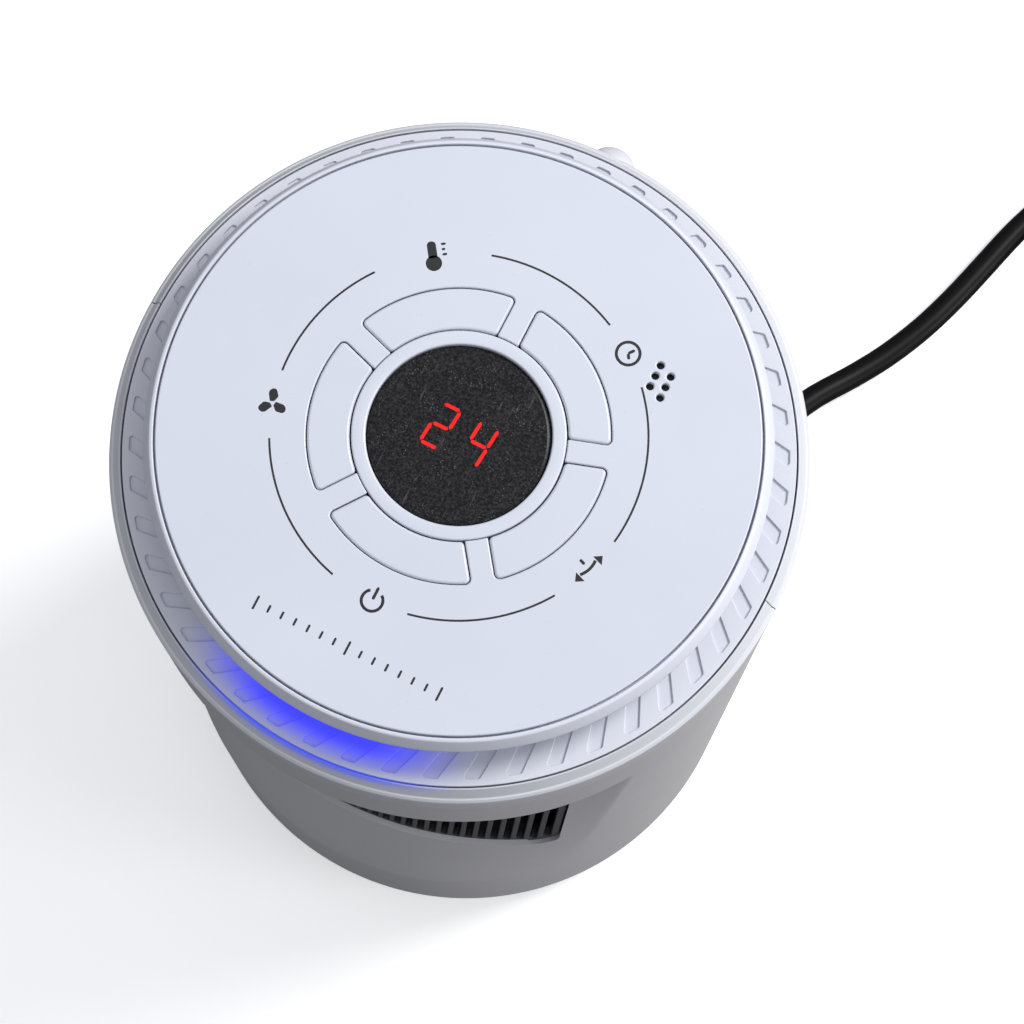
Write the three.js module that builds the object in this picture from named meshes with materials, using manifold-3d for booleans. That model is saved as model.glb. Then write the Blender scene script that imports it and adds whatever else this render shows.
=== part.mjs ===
// Ceramic space heater: a round tower that swings on a flat base, with a raised
// control cap, a slotted light ring, a slatted air outlet and a mains cord.
// Millimetres, +Z up, front towards -Y, origin on the floor under the tower's axis.

import * as THREE from 'three';
import { mergeVertices } from 'three/addons/utils/BufferGeometryUtils.js';
import Module from 'manifold-3d';

const wasm = await Module();
wasm.setup();

// ---------------------------------------------------------------- driving dimensions

const gap = 0.3; // clearance between pieces that touch
const slide = 0.4; // clearance round anything that slides

// tower
const bodyR = 85;
const wall = 2.5;
const seamZ = 251;
const seamGap = 0.6;
const shellSteps = 24; // facets round half a shell

// air outlet: a scoop in the front wall, deepest under its top ledge
const scoopHalfAngle = 57.4;
const scoopBottom = 64;
const scoopTop = seamZ - 30;
const scoopDepth = 22;
const outletSideInset = 12.4; // from the scoop's side edge to the outlet
const outletBottom = 121.5;
const outletTop = scoopTop - 2;
const slatPitch = 3.3;
const slatWidth = 1.4;
const grilleThickness = 3;

// rear intake
const intakeHalfAngle = 50;
const intakeBottom = 60;
const intakeTop = seamZ - 5;

// collar, light ring and control cap
const collarR = bodyR + 0.1;
const collarTop = seamZ + 12;
const creaseR = collarR - 1.1;
const collarLip = 2.85; // from the collar's side to its inner edge
const creaseDrop = 3.2;
const domeWidth = 12;
const domeHeight = 8;
const domeReach = 3.4; // how far the rear dome stands out of the collar
const ringGap = 0.6;
const ringOuterR = collarR - collarLip - ringGap;
const ringThickness = 3;
const slotCount = 50;
const slotSlant = 35;
const slotWidth = 3.4;
const slotDepth = 0.8;
const capSetback = 10.1; // how far the cap's edge lies inside the collar's side
const capR = collarR - capSetback;
const capUndercut = 11.4;
const capWallR = capR - capUndercut;
const capWall = 2.8;
const capEdgeZ = collarTop + 12.2;
const ringInnerR = capWallR + 2.4;
const slotOuterR = ringOuterR - 1.85;
const slotInnerR = ringInnerR + 2.5;
const panelTop = capEdgeZ + 3.8;
const capRimWidth = 3.15;
const panelR = capR - capRimWidth;
const panelGap = 0.5;
const panelThickness = 2;

// keys and display
const keyCount = 5;
const bezelOuterR = 25.55;
const keyInnerR = bezelOuterR + 0.35;
const keyDepth = 10.1; // along the radius
const keyOuterR = keyInnerR + keyDepth;
const keySpokeWidth = 6;
const keyCorner = 1.2;
const keyThickness = 2.4;
const keyTravel = 0.8;
const keyStemR = 1.6;
const keyStemLength = 0.9;
const bezelWidth = 3.45;
const bezelInnerR = bezelOuterR - bezelWidth;
const lensR = bezelInnerR - gap;
const lensDrop = 0.8;
const lensThickness = 2;
const buzzerAt = [36.8, 33.1];
const buzzerHoleR = 0.95;
const buzzerHolePitch = 2.87;
const buzzerRowPitch = 3.35;

// base
const footHeight = 2;
const footR = 7;
const footCount = 4;
const baseR = bodyR - wall - 0.5;
const footCircleR = baseR - 16;
const baseTop = 16;
const bodyBottom = baseTop - 1; // the tower's skirt laps the base by this much
const basePlateThickness = 2;
const spigotR = 16;
const spigotBoreR = 11;
const spigotNeckR = 14;
const trackOuterR = baseR - 16;
const trackInnerR = trackOuterR - 6;
const trackTop = baseTop + 3.5;
const screwCircleR = 46;
const screwCount = 4;
const screwHeadR = 3.3;
const screwShankR = 1.5;

// swing drive
const floorZ = baseTop + 7; // underside of the tower's floor plate
const floorThickness = 2.5;
const gearModule = 1.5;
const fixedTeeth = 36;
const pinionTeeth = 12;
const gearBottom = baseTop + 0.4;
const gearTop = gearBottom + 5;
const gearBacklash = 0.5;
const swingMotorR = 14;
const swingMotorHeight = 15;

// heater and fan
const fanZ = outletTop - 53;
const fanR = bodyR - 35;
const fanY = bodyR - 61;
const fanDepth = 18;
const fanBlades = 7;
const fanTipGap = 2;
const fanShaftR = 3;
const fanMotorR = 22;
const fanMotorLength = 26;
const elementHeight = outletTop - outletBottom - 9.5;
const elementDepth = 12;
const elementY = scoopDepth + 25 - bodyR;
const frameBorder = 6;
const frameLap = 2; // how far the frame stands out before and behind the element
const frameFrontY = elementY - elementDepth / 2 - frameLap;
const frameScoopRoom = 4.75; // from the frame's front corners to the scoop's arc
const elementBars = 6;

// cord
const cordR = 4;
const cordExitAngle = 61.5;
const cordExitZ = 8.75;
const glandReach = baseR + 30;
const cordSides = 10;
const coilCentre = [172, 232];
const coilInnerR = 29.5;
const coilOuterR = 56.5;
const coilHeight = 16.5;
const plugLength = 34;
const plugWidth = 26;
const plugHeight = 18;
const plugAt = [220, 127];
const bladeLength = 17;
const bladeSpacing = 12.7;

// the cord's free run over the floor, from the strain relief to the coil
const cordRoute = [
  [53.7, 98.95, 8.75], [59.6, 110.9, 8.2], [66.0, 124.0, 6.9], [73.8, 136.0, 5.0], [81.2, 148.4, 4.1],
  [87.9, 162.6, 4.05], [93.0, 177.0, 4.05], [97.0, 190.9, 4.05], [101.3, 206.2, 4.05],
  [106.2, 219.6, 4.05], [111.2, 231.6, 4.05],
];

// the short run from the coil to the plug
const tailRoute = [
  [223.6, 200.2, 10.9], [222.4, 191, 10.2], [221, 181, 9.5], [220.2, 171, 9.1],
  [plugAt[0], plugAt[1] + plugLength + gap, plugHeight / 2],
];

// ---------------------------------------------------------------- materials

const material = (color, roughness, metalness = 0) =>
  new THREE.MeshStandardMaterial({ color, roughness, metalness });

const whitePlastic = material(0xd9dbe4, 0.45);
const whiteGloss = material(0xe8e9f0, 0.3);
const diffuser = material(0xd4d6e2, 0.4);
const blackGloss = material(0x1c1c1e, 0.35);
const darkPlastic = material(0x2a2a2c, 0.6);
const greyPlastic = material(0x6d6d70, 0.55);
const rubber = material(0x202022, 0.85);
const cordPlastic = material(0x131314, 0.5);
const steel = material(0xb4b6ba, 0.3, 1);
const aluminium = material(0xc4c6ca, 0.35, 1);
const ceramic = material(0xcbb9a2, 0.7);
const boardGreen = material(0x2f5d3a, 0.5);
const nylon = material(0xece8dc, 0.5);

// ---------------------------------------------------------------- solids

const rad = THREE.MathUtils.degToRad;
const tau = Math.PI * 2;

// Keeps only positions, joins shared corners, drops flat triangles and turns the faces outwards.
function closed(geometry) {
  const bare = geometry.clone();
  bare.deleteAttribute('normal');
  bare.deleteAttribute('uv');
  const merged = mergeVertices(bare, 1e-4);
  const p = merged.attributes.position;
  const index = [];
  let volume = 0;
  const [a, b, c] = [new THREE.Vector3(), new THREE.Vector3(), new THREE.Vector3()];
  for (let i = 0; i < merged.index.count; i += 3) {
    const [u, v, w] = [0, 1, 2].map((k) => merged.index.getX(i + k));
    if (u === v || v === w || w === u) continue;
    index.push(u, v, w);
    a.fromBufferAttribute(p, u);
    b.fromBufferAttribute(p, v);
    c.fromBufferAttribute(p, w);
    volume += a.dot(b.clone().cross(c));
  }
  if (volume < 0) index.reverse();
  merged.setIndex(index);
  return merged;
}

function toSolid(geometry) {
  const g = closed(geometry);
  return new wasm.Manifold(new wasm.Mesh({
    numProp: 3,
    vertProperties: new Float32Array(g.attributes.position.array),
    triVerts: new Uint32Array(g.index.array),
  }));
}

function toGeometry(solid) {
  const m = solid.getMesh();
  const g = new THREE.BufferGeometry();
  g.setAttribute('position', new THREE.BufferAttribute(new Float32Array(m.vertProperties), 3));
  g.setIndex(Array.from(m.triVerts));
  return g;
}

function join(...parts) {
  return toGeometry(parts.map(toSolid).reduce((sum, part) => sum.add(part)));
}

function cut(body, ...tools) {
  return toGeometry(tools.map(toSolid).reduce((rest, tool) => rest.subtract(tool), toSolid(body)));
}

function moved(geometry, x = 0, y = 0, z = 0, turn = 0) {
  return geometry.clone().rotateZ(rad(turn)).translate(x, y, z);
}

// Body of revolution about Z from [radius, height] points; off the axis the outline closes on itself.
function turned(outline, segments = 40) {
  const points = outline.map(([r, z]) => new THREE.Vector2(r, z));
  const last = outline[outline.length - 1];
  if (outline[0][0] > 0 || last[0] > 0) points.push(points[0].clone());
  return closed(new THREE.LatheGeometry(points, segments).rotateX(Math.PI / 2));
}

const rod = (r, z0, z1, segments = 16) => turned([[0, z0], [r, z0], [r, z1], [0, z1]], segments);

const tube = (rIn, rOut, z0, z1, segments = 36) =>
  turned([[rIn, z0], [rOut, z0], [rOut, z1], [rIn, z1]], segments);

// A turned piece laid along +Y: its height becomes distance along Y.
const alongY = (geometry) => geometry.clone().rotateX(-Math.PI / 2);

function box(x0, x1, y0, y1, z0, z1) {
  const g = new THREE.BoxGeometry(x1 - x0, y1 - y0, z1 - z0);
  return g.translate((x0 + x1) / 2, (y0 + y1) / 2, (z0 + z1) / 2);
}

function prism(shape, z0, z1, curveSegments = 12) {
  const g = new THREE.ExtrudeGeometry(shape, { depth: z1 - z0, bevelEnabled: false, curveSegments });
  return g.translate(0, 0, z0);
}

// Sweeps a closed [radius, height] profile round part of a turn. profileAt gives it for an
// angle in degrees from the front, positive towards +X.
function swept(profileAt, angles) {
  const rings = angles.map((angle) => profileAt(angle).map(([r, z]) =>
    [r * Math.sin(rad(angle)), -r * Math.cos(rad(angle)), z]));
  const n = rings[0].length;
  const index = [];
  for (let i = 0; i + 1 < rings.length; i += 1) {
    for (let k = 0; k < n; k += 1) {
      const [a, b] = [i * n + k, i * n + ((k + 1) % n)];
      index.push(a, a + n, b, b, a + n, b + n);
    }
  }
  for (const [ring, last] of [[0, false], [rings.length - 1, true]]) {
    const outline = profileAt(angles[ring]);
    const kept = outline.map((p, k) => k).filter((k) => {
      const q = outline[(k + 1) % n];
      return Math.hypot(outline[k][0] - q[0], outline[k][1] - q[1]) > 1e-6;
    });
    const flat = kept.map((k) => new THREE.Vector2(...outline[k]));
    const flip = last === (THREE.ShapeUtils.area(flat) > 0);
    for (const [a, b, c] of THREE.ShapeUtils.triangulateShape(flat, [])) {
      const face = [kept[a], kept[b], kept[c]].map((k) => ring * n + k);
      if (flip) face.reverse();
      index.push(...face);
    }
  }
  const g = new THREE.BufferGeometry();
  g.setAttribute('position', new THREE.Float32BufferAttribute(rings.flat(2), 3));
  g.setIndex(index);
  return closed(g);
}

const spread = (from, to, steps) =>
  Array.from({ length: steps + 1 }, (_, i) => from + ((to - from) * i) / steps);

// A pie-shaped cutter about the front (centre 0) or the rear (centre 180).
function wedge(centre, halfAngle, rIn, rOut, z0, z1) {
  const profile = [[rIn, z0], [rOut, z0], [rOut, z1], [rIn, z1]];
  return swept(() => profile, spread(centre - halfAngle, centre + halfAngle, 12));
}

// ---------------------------------------------------------------- scoop in the front wall

// The scoop's top edge is an arc flatter than the wall, which meets it at the scoop's two sides.
const sideX = bodyR * Math.sin(rad(scoopHalfAngle));
const sideY = -bodyR * Math.cos(rad(scoopHalfAngle));
const scoopRise = bodyR - scoopDepth + sideY;
const scoopArcR = (sideX * sideX + scoopRise * scoopRise) / (2 * scoopRise);
const scoopArcY = scoopArcR - (bodyR - scoopDepth);

// Depth of the scoop below the wall, at an angle from the front and at a height.
function scoopAt(angle, z) {
  if (Math.abs(angle) >= scoopHalfAngle) return 0;
  const c = scoopArcY * Math.cos(rad(angle));
  const arc = -c + Math.sqrt(c * c - scoopArcY * scoopArcY + scoopArcR * scoopArcR);
  const share = THREE.MathUtils.clamp((z - scoopBottom) / (scoopTop - scoopBottom), 0, 1);
  return (bodyR - arc) * share;
}

const outletHalfWidth = sideX - outletSideInset;

const scoopAngles = spread(-scoopHalfAngle, scoopHalfAngle, 16);

// ---------------------------------------------------------------- pieces of the base

const bossTurns = spread(0, 270, screwCount - 1).map((turn) => turn + 22.5);
const footTurns = spread(0, 270, footCount - 1).map((turn) => turn + 45);
const tipSwitchAt = [-40, 8];
const tipPlungerR = 3.5;
const tipFlangeR = 5.2;
const tipTravel = 3;
const plateTop = footHeight + basePlateThickness;
const deckUnderside = baseTop - wall;

function onCircle(geometry, radius, turn) {
  return moved(geometry, radius * Math.cos(rad(turn)), radius * Math.sin(rad(turn)));
}

// A turned piece pointed outwards from the axis along the cord's exit, at the cord's height.
function alongCordExit(outline, segments) {
  return turned(outline, segments).rotateY(Math.PI / 2).rotateZ(rad(cordExitAngle)).translate(0, 0, cordExitZ);
}

const glandFlangeR = 5.7;
const glandTipR = 4.4;
const glandNeckR = 4.4;

function baseHousing() {
  const neckZ = floorZ + floorThickness + gap;
  const cup = turned([
    [baseR - wall, footHeight], [baseR - 0.8, footHeight], [baseR, footHeight + 0.8], [baseR, baseTop - 1],
    [baseR - 1, baseTop], [trackOuterR, baseTop], [trackOuterR, trackTop], [trackInnerR, trackTop],
    [trackInnerR, baseTop], [spigotR, baseTop], [spigotR, neckZ], [spigotNeckR, neckZ],
    [spigotNeckR, neckZ + 3.2], [spigotBoreR, neckZ + 3.2], [spigotBoreR, deckUnderside],
    [baseR - wall, deckUnderside],
  ], 36);
  const bossBottom = plateTop + gap;
  const bosses = bossTurns.map((turn) => onCircle(rod(4, bossBottom, baseTop - 1, 10), screwCircleR, turn));
  const pilots = bossTurns.map((turn) =>
    onCircle(rod(screwShankR + gap, footHeight, deckUnderside, 8), screwCircleR, turn));
  const cordHole = alongCordExit([[0, baseR - 10], [glandNeckR + gap, baseR - 10],
    [glandNeckR + gap, baseR + 10], [0, baseR + 10]], 14);
  return cut(join(cup, ...bosses), ...pilots, cordHole);
}

function basePlate() {
  const disc = rod(baseR - wall - 0.4, footHeight, plateTop, 36);
  const holes = [
    ...footTurns.map((turn) => onCircle(rod(3 + gap, 0, baseTop, 12), footCircleR, turn)),
    ...bossTurns.map((turn) => onCircle(rod(screwShankR + gap, 0, baseTop, 8), screwCircleR, turn)),
    ...bossTurns.map((turn) => onCircle(rod(screwHeadR + gap, 0, footHeight + 1.2, 8), screwCircleR, turn)),
    moved(rod(tipPlungerR + slide, 0, baseTop, 14), ...tipSwitchAt),
  ];
  return cut(disc, ...holes);
}

const foot = () => turned([[0, 0], [footR - 0.8, 0], [footR, 0.6], [footR, footHeight - gap],
  [3, footHeight - gap], [3, plateTop + 1.2], [0, plateTop + 1.2]], 12);

const baseScrew = () => turned([[0, footHeight + 0.1], [screwHeadR, footHeight + 0.1],
  [screwHeadR, footHeight + 0.9], [screwShankR, footHeight + 0.9],
  [screwShankR, deckUnderside - 1], [0, deckUnderside - 1]], 8);

function tipPlunger() {
  const flangeZ = plateTop + gap + tipTravel;
  return moved(turned([[0, 0], [tipPlungerR - 0.8, 0], [tipPlungerR, 0.8], [tipPlungerR, flangeZ],
    [tipFlangeR, flangeZ], [tipFlangeR, flangeZ + 1], [tipPlungerR - 1, flangeZ + 1],
    [tipPlungerR - 1, flangeZ + 1.8], [0, flangeZ + 1.8]], 14), ...tipSwitchAt);
}

function tipSwitchBody() {
  const [x, y] = tipSwitchAt;
  const top = deckUnderside - gap;
  const clear = tipFlangeR + slide;
  return box(x - clear - 8, x - clear, y - 10, y + 10, plateTop + gap, top);
}

function gearShape(teeth, boreR) {
  const pitchR = (gearModule * teeth) / 2;
  const tipR = pitchR + gearModule * 0.8;
  const rootR = pitchR - gearModule * 1.15;
  const step = tau / teeth;
  const halfTooth = step / 4 - gearBacklash / (2 * pitchR);
  const at = (r, angle) => new THREE.Vector2(r * Math.cos(angle), r * Math.sin(angle));
  const points = [];
  for (let i = 0; i < teeth; i += 1) {
    const middle = i * step;
    points.push(at(rootR, middle - halfTooth * 1.7));
    points.push(at(tipR, middle - halfTooth * 0.5));
    points.push(at(tipR, middle + halfTooth * 0.5));
    points.push(at(rootR, middle + halfTooth * 1.7));
  }
  const shape = new THREE.Shape(points);
  if (boreR > 0) {
    const bore = new THREE.Path();
    bore.absarc(0, 0, boreR, 0, tau, true);
    shape.holes.push(bore);
  }
  return shape;
}

const gearCentres = (gearModule * (fixedTeeth + pinionTeeth)) / 2;

// The fixed gear has a tooth on the line of centres, so the pinion has a space there.
const fixedGear = () => moved(prism(gearShape(fixedTeeth, spigotR + 0.5), gearBottom, gearTop, 10), 0, 0, 0, 90);

function pinion() {
  const shaftR = 2.5;
  const turn = 90 + 180 / pinionTeeth;
  const wheel = moved(prism(gearShape(pinionTeeth, 0), gearBottom, gearTop, 12), 0, 0, 0, turn);
  const shaft = rod(shaftR, gearTop - 1, floorZ + floorThickness, 20);
  return moved(join(wheel, shaft), 0, gearCentres);
}

const glideRing = () => tube(trackInnerR + 0.5, trackOuterR - 0.5, trackTop + gap, floorZ - gap, 28);

function pivotRetainer() {
  const z = floorZ + floorThickness + 2 * gap;
  return tube(spigotNeckR + gap, spigotR + 5, z, z + 2, 28);
}

// ---------------------------------------------------------------- the cord and what is on it

function cordGland() {
  const inside = baseR - wall - 5;
  return alongCordExit([[0, inside], [glandNeckR, inside], [glandNeckR, baseR + gap],
    [glandFlangeR, baseR + gap], [glandFlangeR, baseR + 2.5], [glandTipR, glandReach],
    [0, glandReach]], 14);
}

function cordTube(route, steps) {
  const path = new THREE.CatmullRomCurve3(route.map((p) => new THREE.Vector3(...p)));
  const section = new THREE.Shape();
  section.absarc(0, 0, cordR, 0, tau);
  return closed(new THREE.ExtrudeGeometry(section, {
    extrudePath: path,
    steps,
    bevelEnabled: false,
    curveSegments: cordSides / 2,
  }));
}

const cordCoil = () => moved(tube(coilInnerR, coilOuterR, 0, coilHeight, 32), ...coilCentre);

function cordTie() {
  const [x, y] = coilCentre;
  const [low, high] = [y - coilOuterR - gap, y - coilInnerR + 1.2];
  const outer = box(x - 6, x + 6, low - 1.5, high + 1.5, 0, coilHeight + gap + 1.5);
  return cut(outer, box(x - 7, x + 7, low, high, -1, coilHeight + gap));
}

// Moulded plug with its two flat blades set into it.
function mainsPlug() {
  const [x, y] = plugAt;
  const outline = new THREE.Shape([
    new THREE.Vector2(-plugWidth / 2, 0), new THREE.Vector2(plugWidth / 2, 0),
    new THREE.Vector2(plugWidth / 2 - 1, plugLength * 0.45), new THREE.Vector2(6.5, plugLength),
    new THREE.Vector2(-6.5, plugLength), new THREE.Vector2(1 - plugWidth / 2, plugLength * 0.45),
  ]);
  const body = prism(outline, 0.1, plugHeight);
  const z = plugHeight / 2;
  const blades = [-bladeSpacing / 2, bladeSpacing / 2].map((middle) =>
    box(middle - 0.75, middle + 0.75, -bladeLength, 1, z - 3.2, z + 3.2));
  return moved(join(body, ...blades), x, y);
}

// ---------------------------------------------------------------- the tower's shells

function frontShell() {
  const inner = bodyR - wall;
  const profileAt = (angle) => {
    const depth = scoopAt(angle, scoopTop);
    return [
      [bodyR, bodyBottom], [bodyR, scoopBottom], [bodyR - depth, scoopTop], [bodyR, scoopTop],
      [bodyR, seamZ], [inner, seamZ], [inner, scoopTop + wall], [inner - depth, scoopTop + wall],
      [inner, scoopBottom], [inner, bodyBottom],
    ];
  };
  const edge = 90 - gap / 2;
  const angles = [...spread(-edge, -scoopHalfAngle, 4).slice(0, -1), ...scoopAngles,
    ...spread(scoopHalfAngle, edge, 4).slice(1)];
  const shell = swept(profileAt, angles);
  return cut(shell, box(-outletHalfWidth, outletHalfWidth, -bodyR - 5, -40, outletBottom, outletTop));
}

// A vertical cutter between two slats, square to the scoop's arc at that place.
function slatSlot(s, z0, z1) {
  const turn = s / scoopArcR;
  const half = (slatPitch - slatWidth) / 2;
  const g = box(-half, half, -scoopArcR - 10, -scoopArcR + 50, z0, z1).rotateZ(turn);
  return g.translate(0, scoopArcY, 0);
}

function outletGrille() {
  const sink = 0.8;
  const halfWidth = outletHalfWidth - gap;
  const z0 = outletBottom + gap;
  const z1 = outletTop - gap;
  const profileAt = (angle) => {
    const low = bodyR - scoopAt(angle, z0) - sink;
    const high = bodyR - scoopAt(angle, z1) - sink;
    return [[low, z0], [high, z1], [high - grilleThickness, z1], [low - grilleThickness, z0]];
  };
  const strip = swept(profileAt, spread(-scoopHalfAngle, scoopHalfAngle, 10));
  const left = box(-bodyR, -halfWidth, -bodyR, 0, z0 - 1, z1 + 1);
  const right = box(halfWidth, bodyR, -bodyR, 0, z0 - 1, z1 + 1);
  const blank = cut(strip, left, right);
  const reach = halfWidth - 3;
  const count = Math.floor(reach / slatPitch);
  const slots = spread(-count, count, 2 * count).map((i) => slatSlot(i * slatPitch, z0 + 3, z1 - 3));
  return cut(blank, ...slots);
}

function rearShell() {
  const inner = bodyR - wall;
  const profile = [[bodyR, bodyBottom], [bodyR, seamZ], [inner, seamZ], [inner, bodyBottom]];
  const edge = 90 - gap / 2;
  const shell = swept(() => profile, spread(180 - edge, 180 + edge, shellSteps));
  return cut(shell, wedge(180, intakeHalfAngle, bodyR - 10, bodyR + 5, intakeBottom, intakeTop));
}

function rearGrille() {
  const halfAngle = intakeHalfAngle - 0.25;
  const inner = bodyR - wall;
  const profile = [[bodyR, intakeBottom + gap], [bodyR, intakeTop - gap],
    [inner, intakeTop - gap], [inner, intakeBottom + gap]];
  const blank = swept(() => profile, spread(180 - halfAngle, 180 + halfAngle, 12));
  const rows = 2;
  const columns = 13;
  const rowBottom = intakeBottom + 8;
  const rowHeight = (intakeTop - 8 - rowBottom) / rows;
  const slots = [];
  for (let row = 0; row < rows; row += 1) {
    for (let column = 0; column < columns; column += 1) {
      const turn = (column - (columns - 1) / 2) * 7.2;
      const z0 = rowBottom + row * rowHeight;
      slots.push(box(-2, 2, bodyR - 10, bodyR + 5, z0, z0 + rowHeight - 5).rotateZ(rad(turn)));
    }
  }
  return cut(blank, ...slots);
}

function dustFilter() {
  const outer = bodyR - wall - 0.8;
  const profile = [[outer, intakeBottom + 4], [outer, intakeTop - 6],
    [outer - 1.2, intakeTop - 6], [outer - 1.2, intakeBottom + 4]];
  return swept(() => profile, spread(180 - intakeHalfAngle + 3, 180 + intakeHalfAngle - 3, 12));
}

// The tower's floor: turns on the base's spigot and carries the shells and the works.
function towerFloor() {
  const top = floorZ + floorThickness;
  const plate = tube(spigotR + slide, bodyR - wall - 0.5, floorZ, top);
  const shaftHole = moved(rod(2.5 + slide, floorZ - 1, top + 1, 14), 0, gearCentres);
  const posts = [[-38, -52], [38, -52], [-38, -22], [38, -22]].map(([x, y]) =>
    moved(rod(2.5, top - 1, top + 4, 8), x, y));
  return join(cut(plate, shaftHole), ...posts);
}

// ---------------------------------------------------------------- collar, light ring and cap

function collarHalf(centre) {
  const ledgeR = ringOuterR + ringGap;
  const inner = collarR - 4.6;
  const bottom = seamZ + seamGap;
  const creaseZ = collarTop - creaseDrop;
  const seatZ = collarTop - ringThickness - gap - 0.1;
  const profile = [
    [inner, bottom], [collarR, bottom], [collarR, creaseZ - 0.8], [creaseR + 0.6, creaseZ - 0.2],
    [creaseR, creaseZ], [ledgeR + 0.4, collarTop], [ledgeR, collarTop], [ledgeR, seatZ],
    [ledgeR - 4, seatZ], [ledgeR - 4, seatZ - 2], [inner, seatZ - 2],
  ];
  const edge = 90 - gap / 2;
  return swept(() => profile, spread(centre - edge, centre + edge, 18));
}

// The rear half carries a small moulded dome.
function collarRear() {
  const sunk = 2;
  const dome = new THREE.SphereGeometry(1, 12, 8).rotateX(Math.PI / 2);
  dome.scale(domeWidth / 2, domeReach + sunk, domeHeight / 2);
  dome.translate(0, collarR - sunk, seamZ + seamGap + domeHeight / 2);
  const inside = wedge(180, 15, collarR - 20, collarR - 3, seamZ, collarTop);
  return join(collarHalf(180), cut(dome, inside));
}

function lightRing() {
  const bottom = collarTop - ringThickness;
  const ring = turned([[ringInnerR, bottom], [ringOuterR, bottom], [ringOuterR, collarTop - 0.4],
    [ringOuterR - 0.5, collarTop], [ringInnerR, collarTop]], 50);
  const slots = [];
  const run = slotOuterR - slotInnerR;
  const lean = run * Math.tan(rad(slotSlant));
  const half = slotWidth / 2 / Math.cos(rad(slotSlant));
  for (let i = 0; i < slotCount; i += 1) {
    const shape = new THREE.Shape([
      new THREE.Vector2(-lean - half, slotInnerR), new THREE.Vector2(-lean + half, slotInnerR),
      new THREE.Vector2(half, slotOuterR), new THREE.Vector2(-half, slotOuterR),
    ]);
    const slot = prism(shape, collarTop - slotDepth, collarTop + 2);
    slots.push(moved(slot, 0, 0, 0, 180 + (i * 360) / slotCount));
  }
  return cut(ring, ...slots);
}

function topDeck() {
  const bottom = seamZ + seamGap + 0.4;
  return tube(20, collarR - 4.6 - 0.7, bottom, bottom + 2, 28);
}

const deckTop = seamZ + seamGap + 2.4;

function controlCap() {
  const seat = panelTop - panelThickness - gap;
  const bore = panelR + panelGap;
  return turned([
    [capWallR - capWall, deckTop + gap], [capWallR, deckTop + gap], [capWallR, capEdgeZ - 5.2], [capR - 2, capEdgeZ - 2.2],
    [capR, capEdgeZ - 1], [capR, capEdgeZ], [bore + 0.8, panelTop - 0.4], [bore, panelTop],
    [bore, seat], [bore - 4, seat], [bore - 4, seat - 2.4], [capWallR - capWall, capEdgeZ - 6.5],
  ]);
}

// Outline of one key, or of its opening when grown: an arc sector whose ends are parallel to the
// spokes beside it, with small round corners.
function keyOutline(grow) {
  const inner = keyInnerR - grow;
  const outer = keyOuterR + grow;
  const spoke = keySpokeWidth / 2 - grow;
  const half = rad(180 / keyCount);
  const corner = keyCorner + grow;
  // a point at radius r on the line that runs beside the spoke, offset by its half width
  const along = (r, offset) => half - Math.asin(offset / r);
  const at = (r, angle) => new THREE.Vector2(r * Math.sin(angle), -r * Math.cos(angle));
  const outerEnd = along(outer, spoke);
  const innerEnd = along(inner, spoke);
  const shape = new THREE.Shape();
  const pts = [];
  const arc = (r, from, to, steps) => {
    for (let i = 0; i <= steps; i += 1) pts.push(at(r, from + ((to - from) * i) / steps));
  };
  arc(outer, -outerEnd + corner / outer, outerEnd - corner / outer, 10);
  pts.push(at(outer - corner * 0.3, along(outer - corner * 0.3, spoke + corner * 0.3)));
  pts.push(at(outer - corner, along(outer - corner, spoke)));
  pts.push(at(inner + corner, along(inner + corner, spoke)));
  pts.push(at(inner + corner * 0.3, along(inner + corner * 0.3, spoke + corner * 0.3)));
  arc(inner, innerEnd - corner / inner, -innerEnd + corner / inner, 8);
  const mirror = (r, offset) => at(r, -along(r, offset));
  pts.push(mirror(inner + corner * 0.3, spoke + corner * 0.3));
  pts.push(mirror(inner + corner, spoke));
  pts.push(mirror(outer - corner, spoke));
  pts.push(mirror(outer - corner * 0.3, spoke + corner * 0.3));
  shape.setFromPoints(pts);
  return shape;
}

const keyTurns = spread(0, keyCount - 1, keyCount - 1).map((i) => (i * 360) / keyCount);
const panelBottom = panelTop - panelThickness;
const keyBottom = panelTop - keyThickness;
const stemMiddleR = (keyInnerR + keyOuterR) / 2;

function controlPanel() {
  const disc = turned([[0, panelBottom], [panelR, panelBottom], [panelR, panelTop - 0.4],
    [panelR - 0.4, panelTop], [0, panelTop]]);
  const openings = keyTurns.map((turn) => moved(prism(keyOutline(slide), panelBottom - 1, panelTop + 1), 0, 0, 0, turn));
  const holes = [];
  for (const side of [-0.5, 0.5]) {
    for (const step of [-1, 0, 1]) {
      const x = buzzerAt[0] + side * buzzerRowPitch;
      const y = buzzerAt[1] + (step - side / 2) * buzzerHolePitch;
      holes.push(moved(rod(buzzerHoleR, panelBottom - 1, panelTop + 1, 8), x, y));
    }
  }
  const middle = rod(bezelOuterR + gap, panelBottom - 1, panelTop + 1, 32);
  return cut(disc, middle, ...openings, ...holes);
}

function key(turn) {
  const plate = prism(keyOutline(0), keyBottom, panelTop);
  const stem = moved(rod(keyStemR, keyBottom - keyStemLength, keyBottom + 1, 10), 0, -stemMiddleR);
  return moved(join(plate, stem), 0, 0, 0, turn);
}

const displayBezel = () => turned([[bezelInnerR, panelBottom - 1.4], [bezelOuterR, panelBottom - 1.4],
  [bezelOuterR, panelTop - 0.2], [bezelOuterR - 0.4, panelTop], [bezelInnerR + 0.5, panelTop],
  [bezelInnerR, panelTop - 0.5]], 32);

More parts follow.
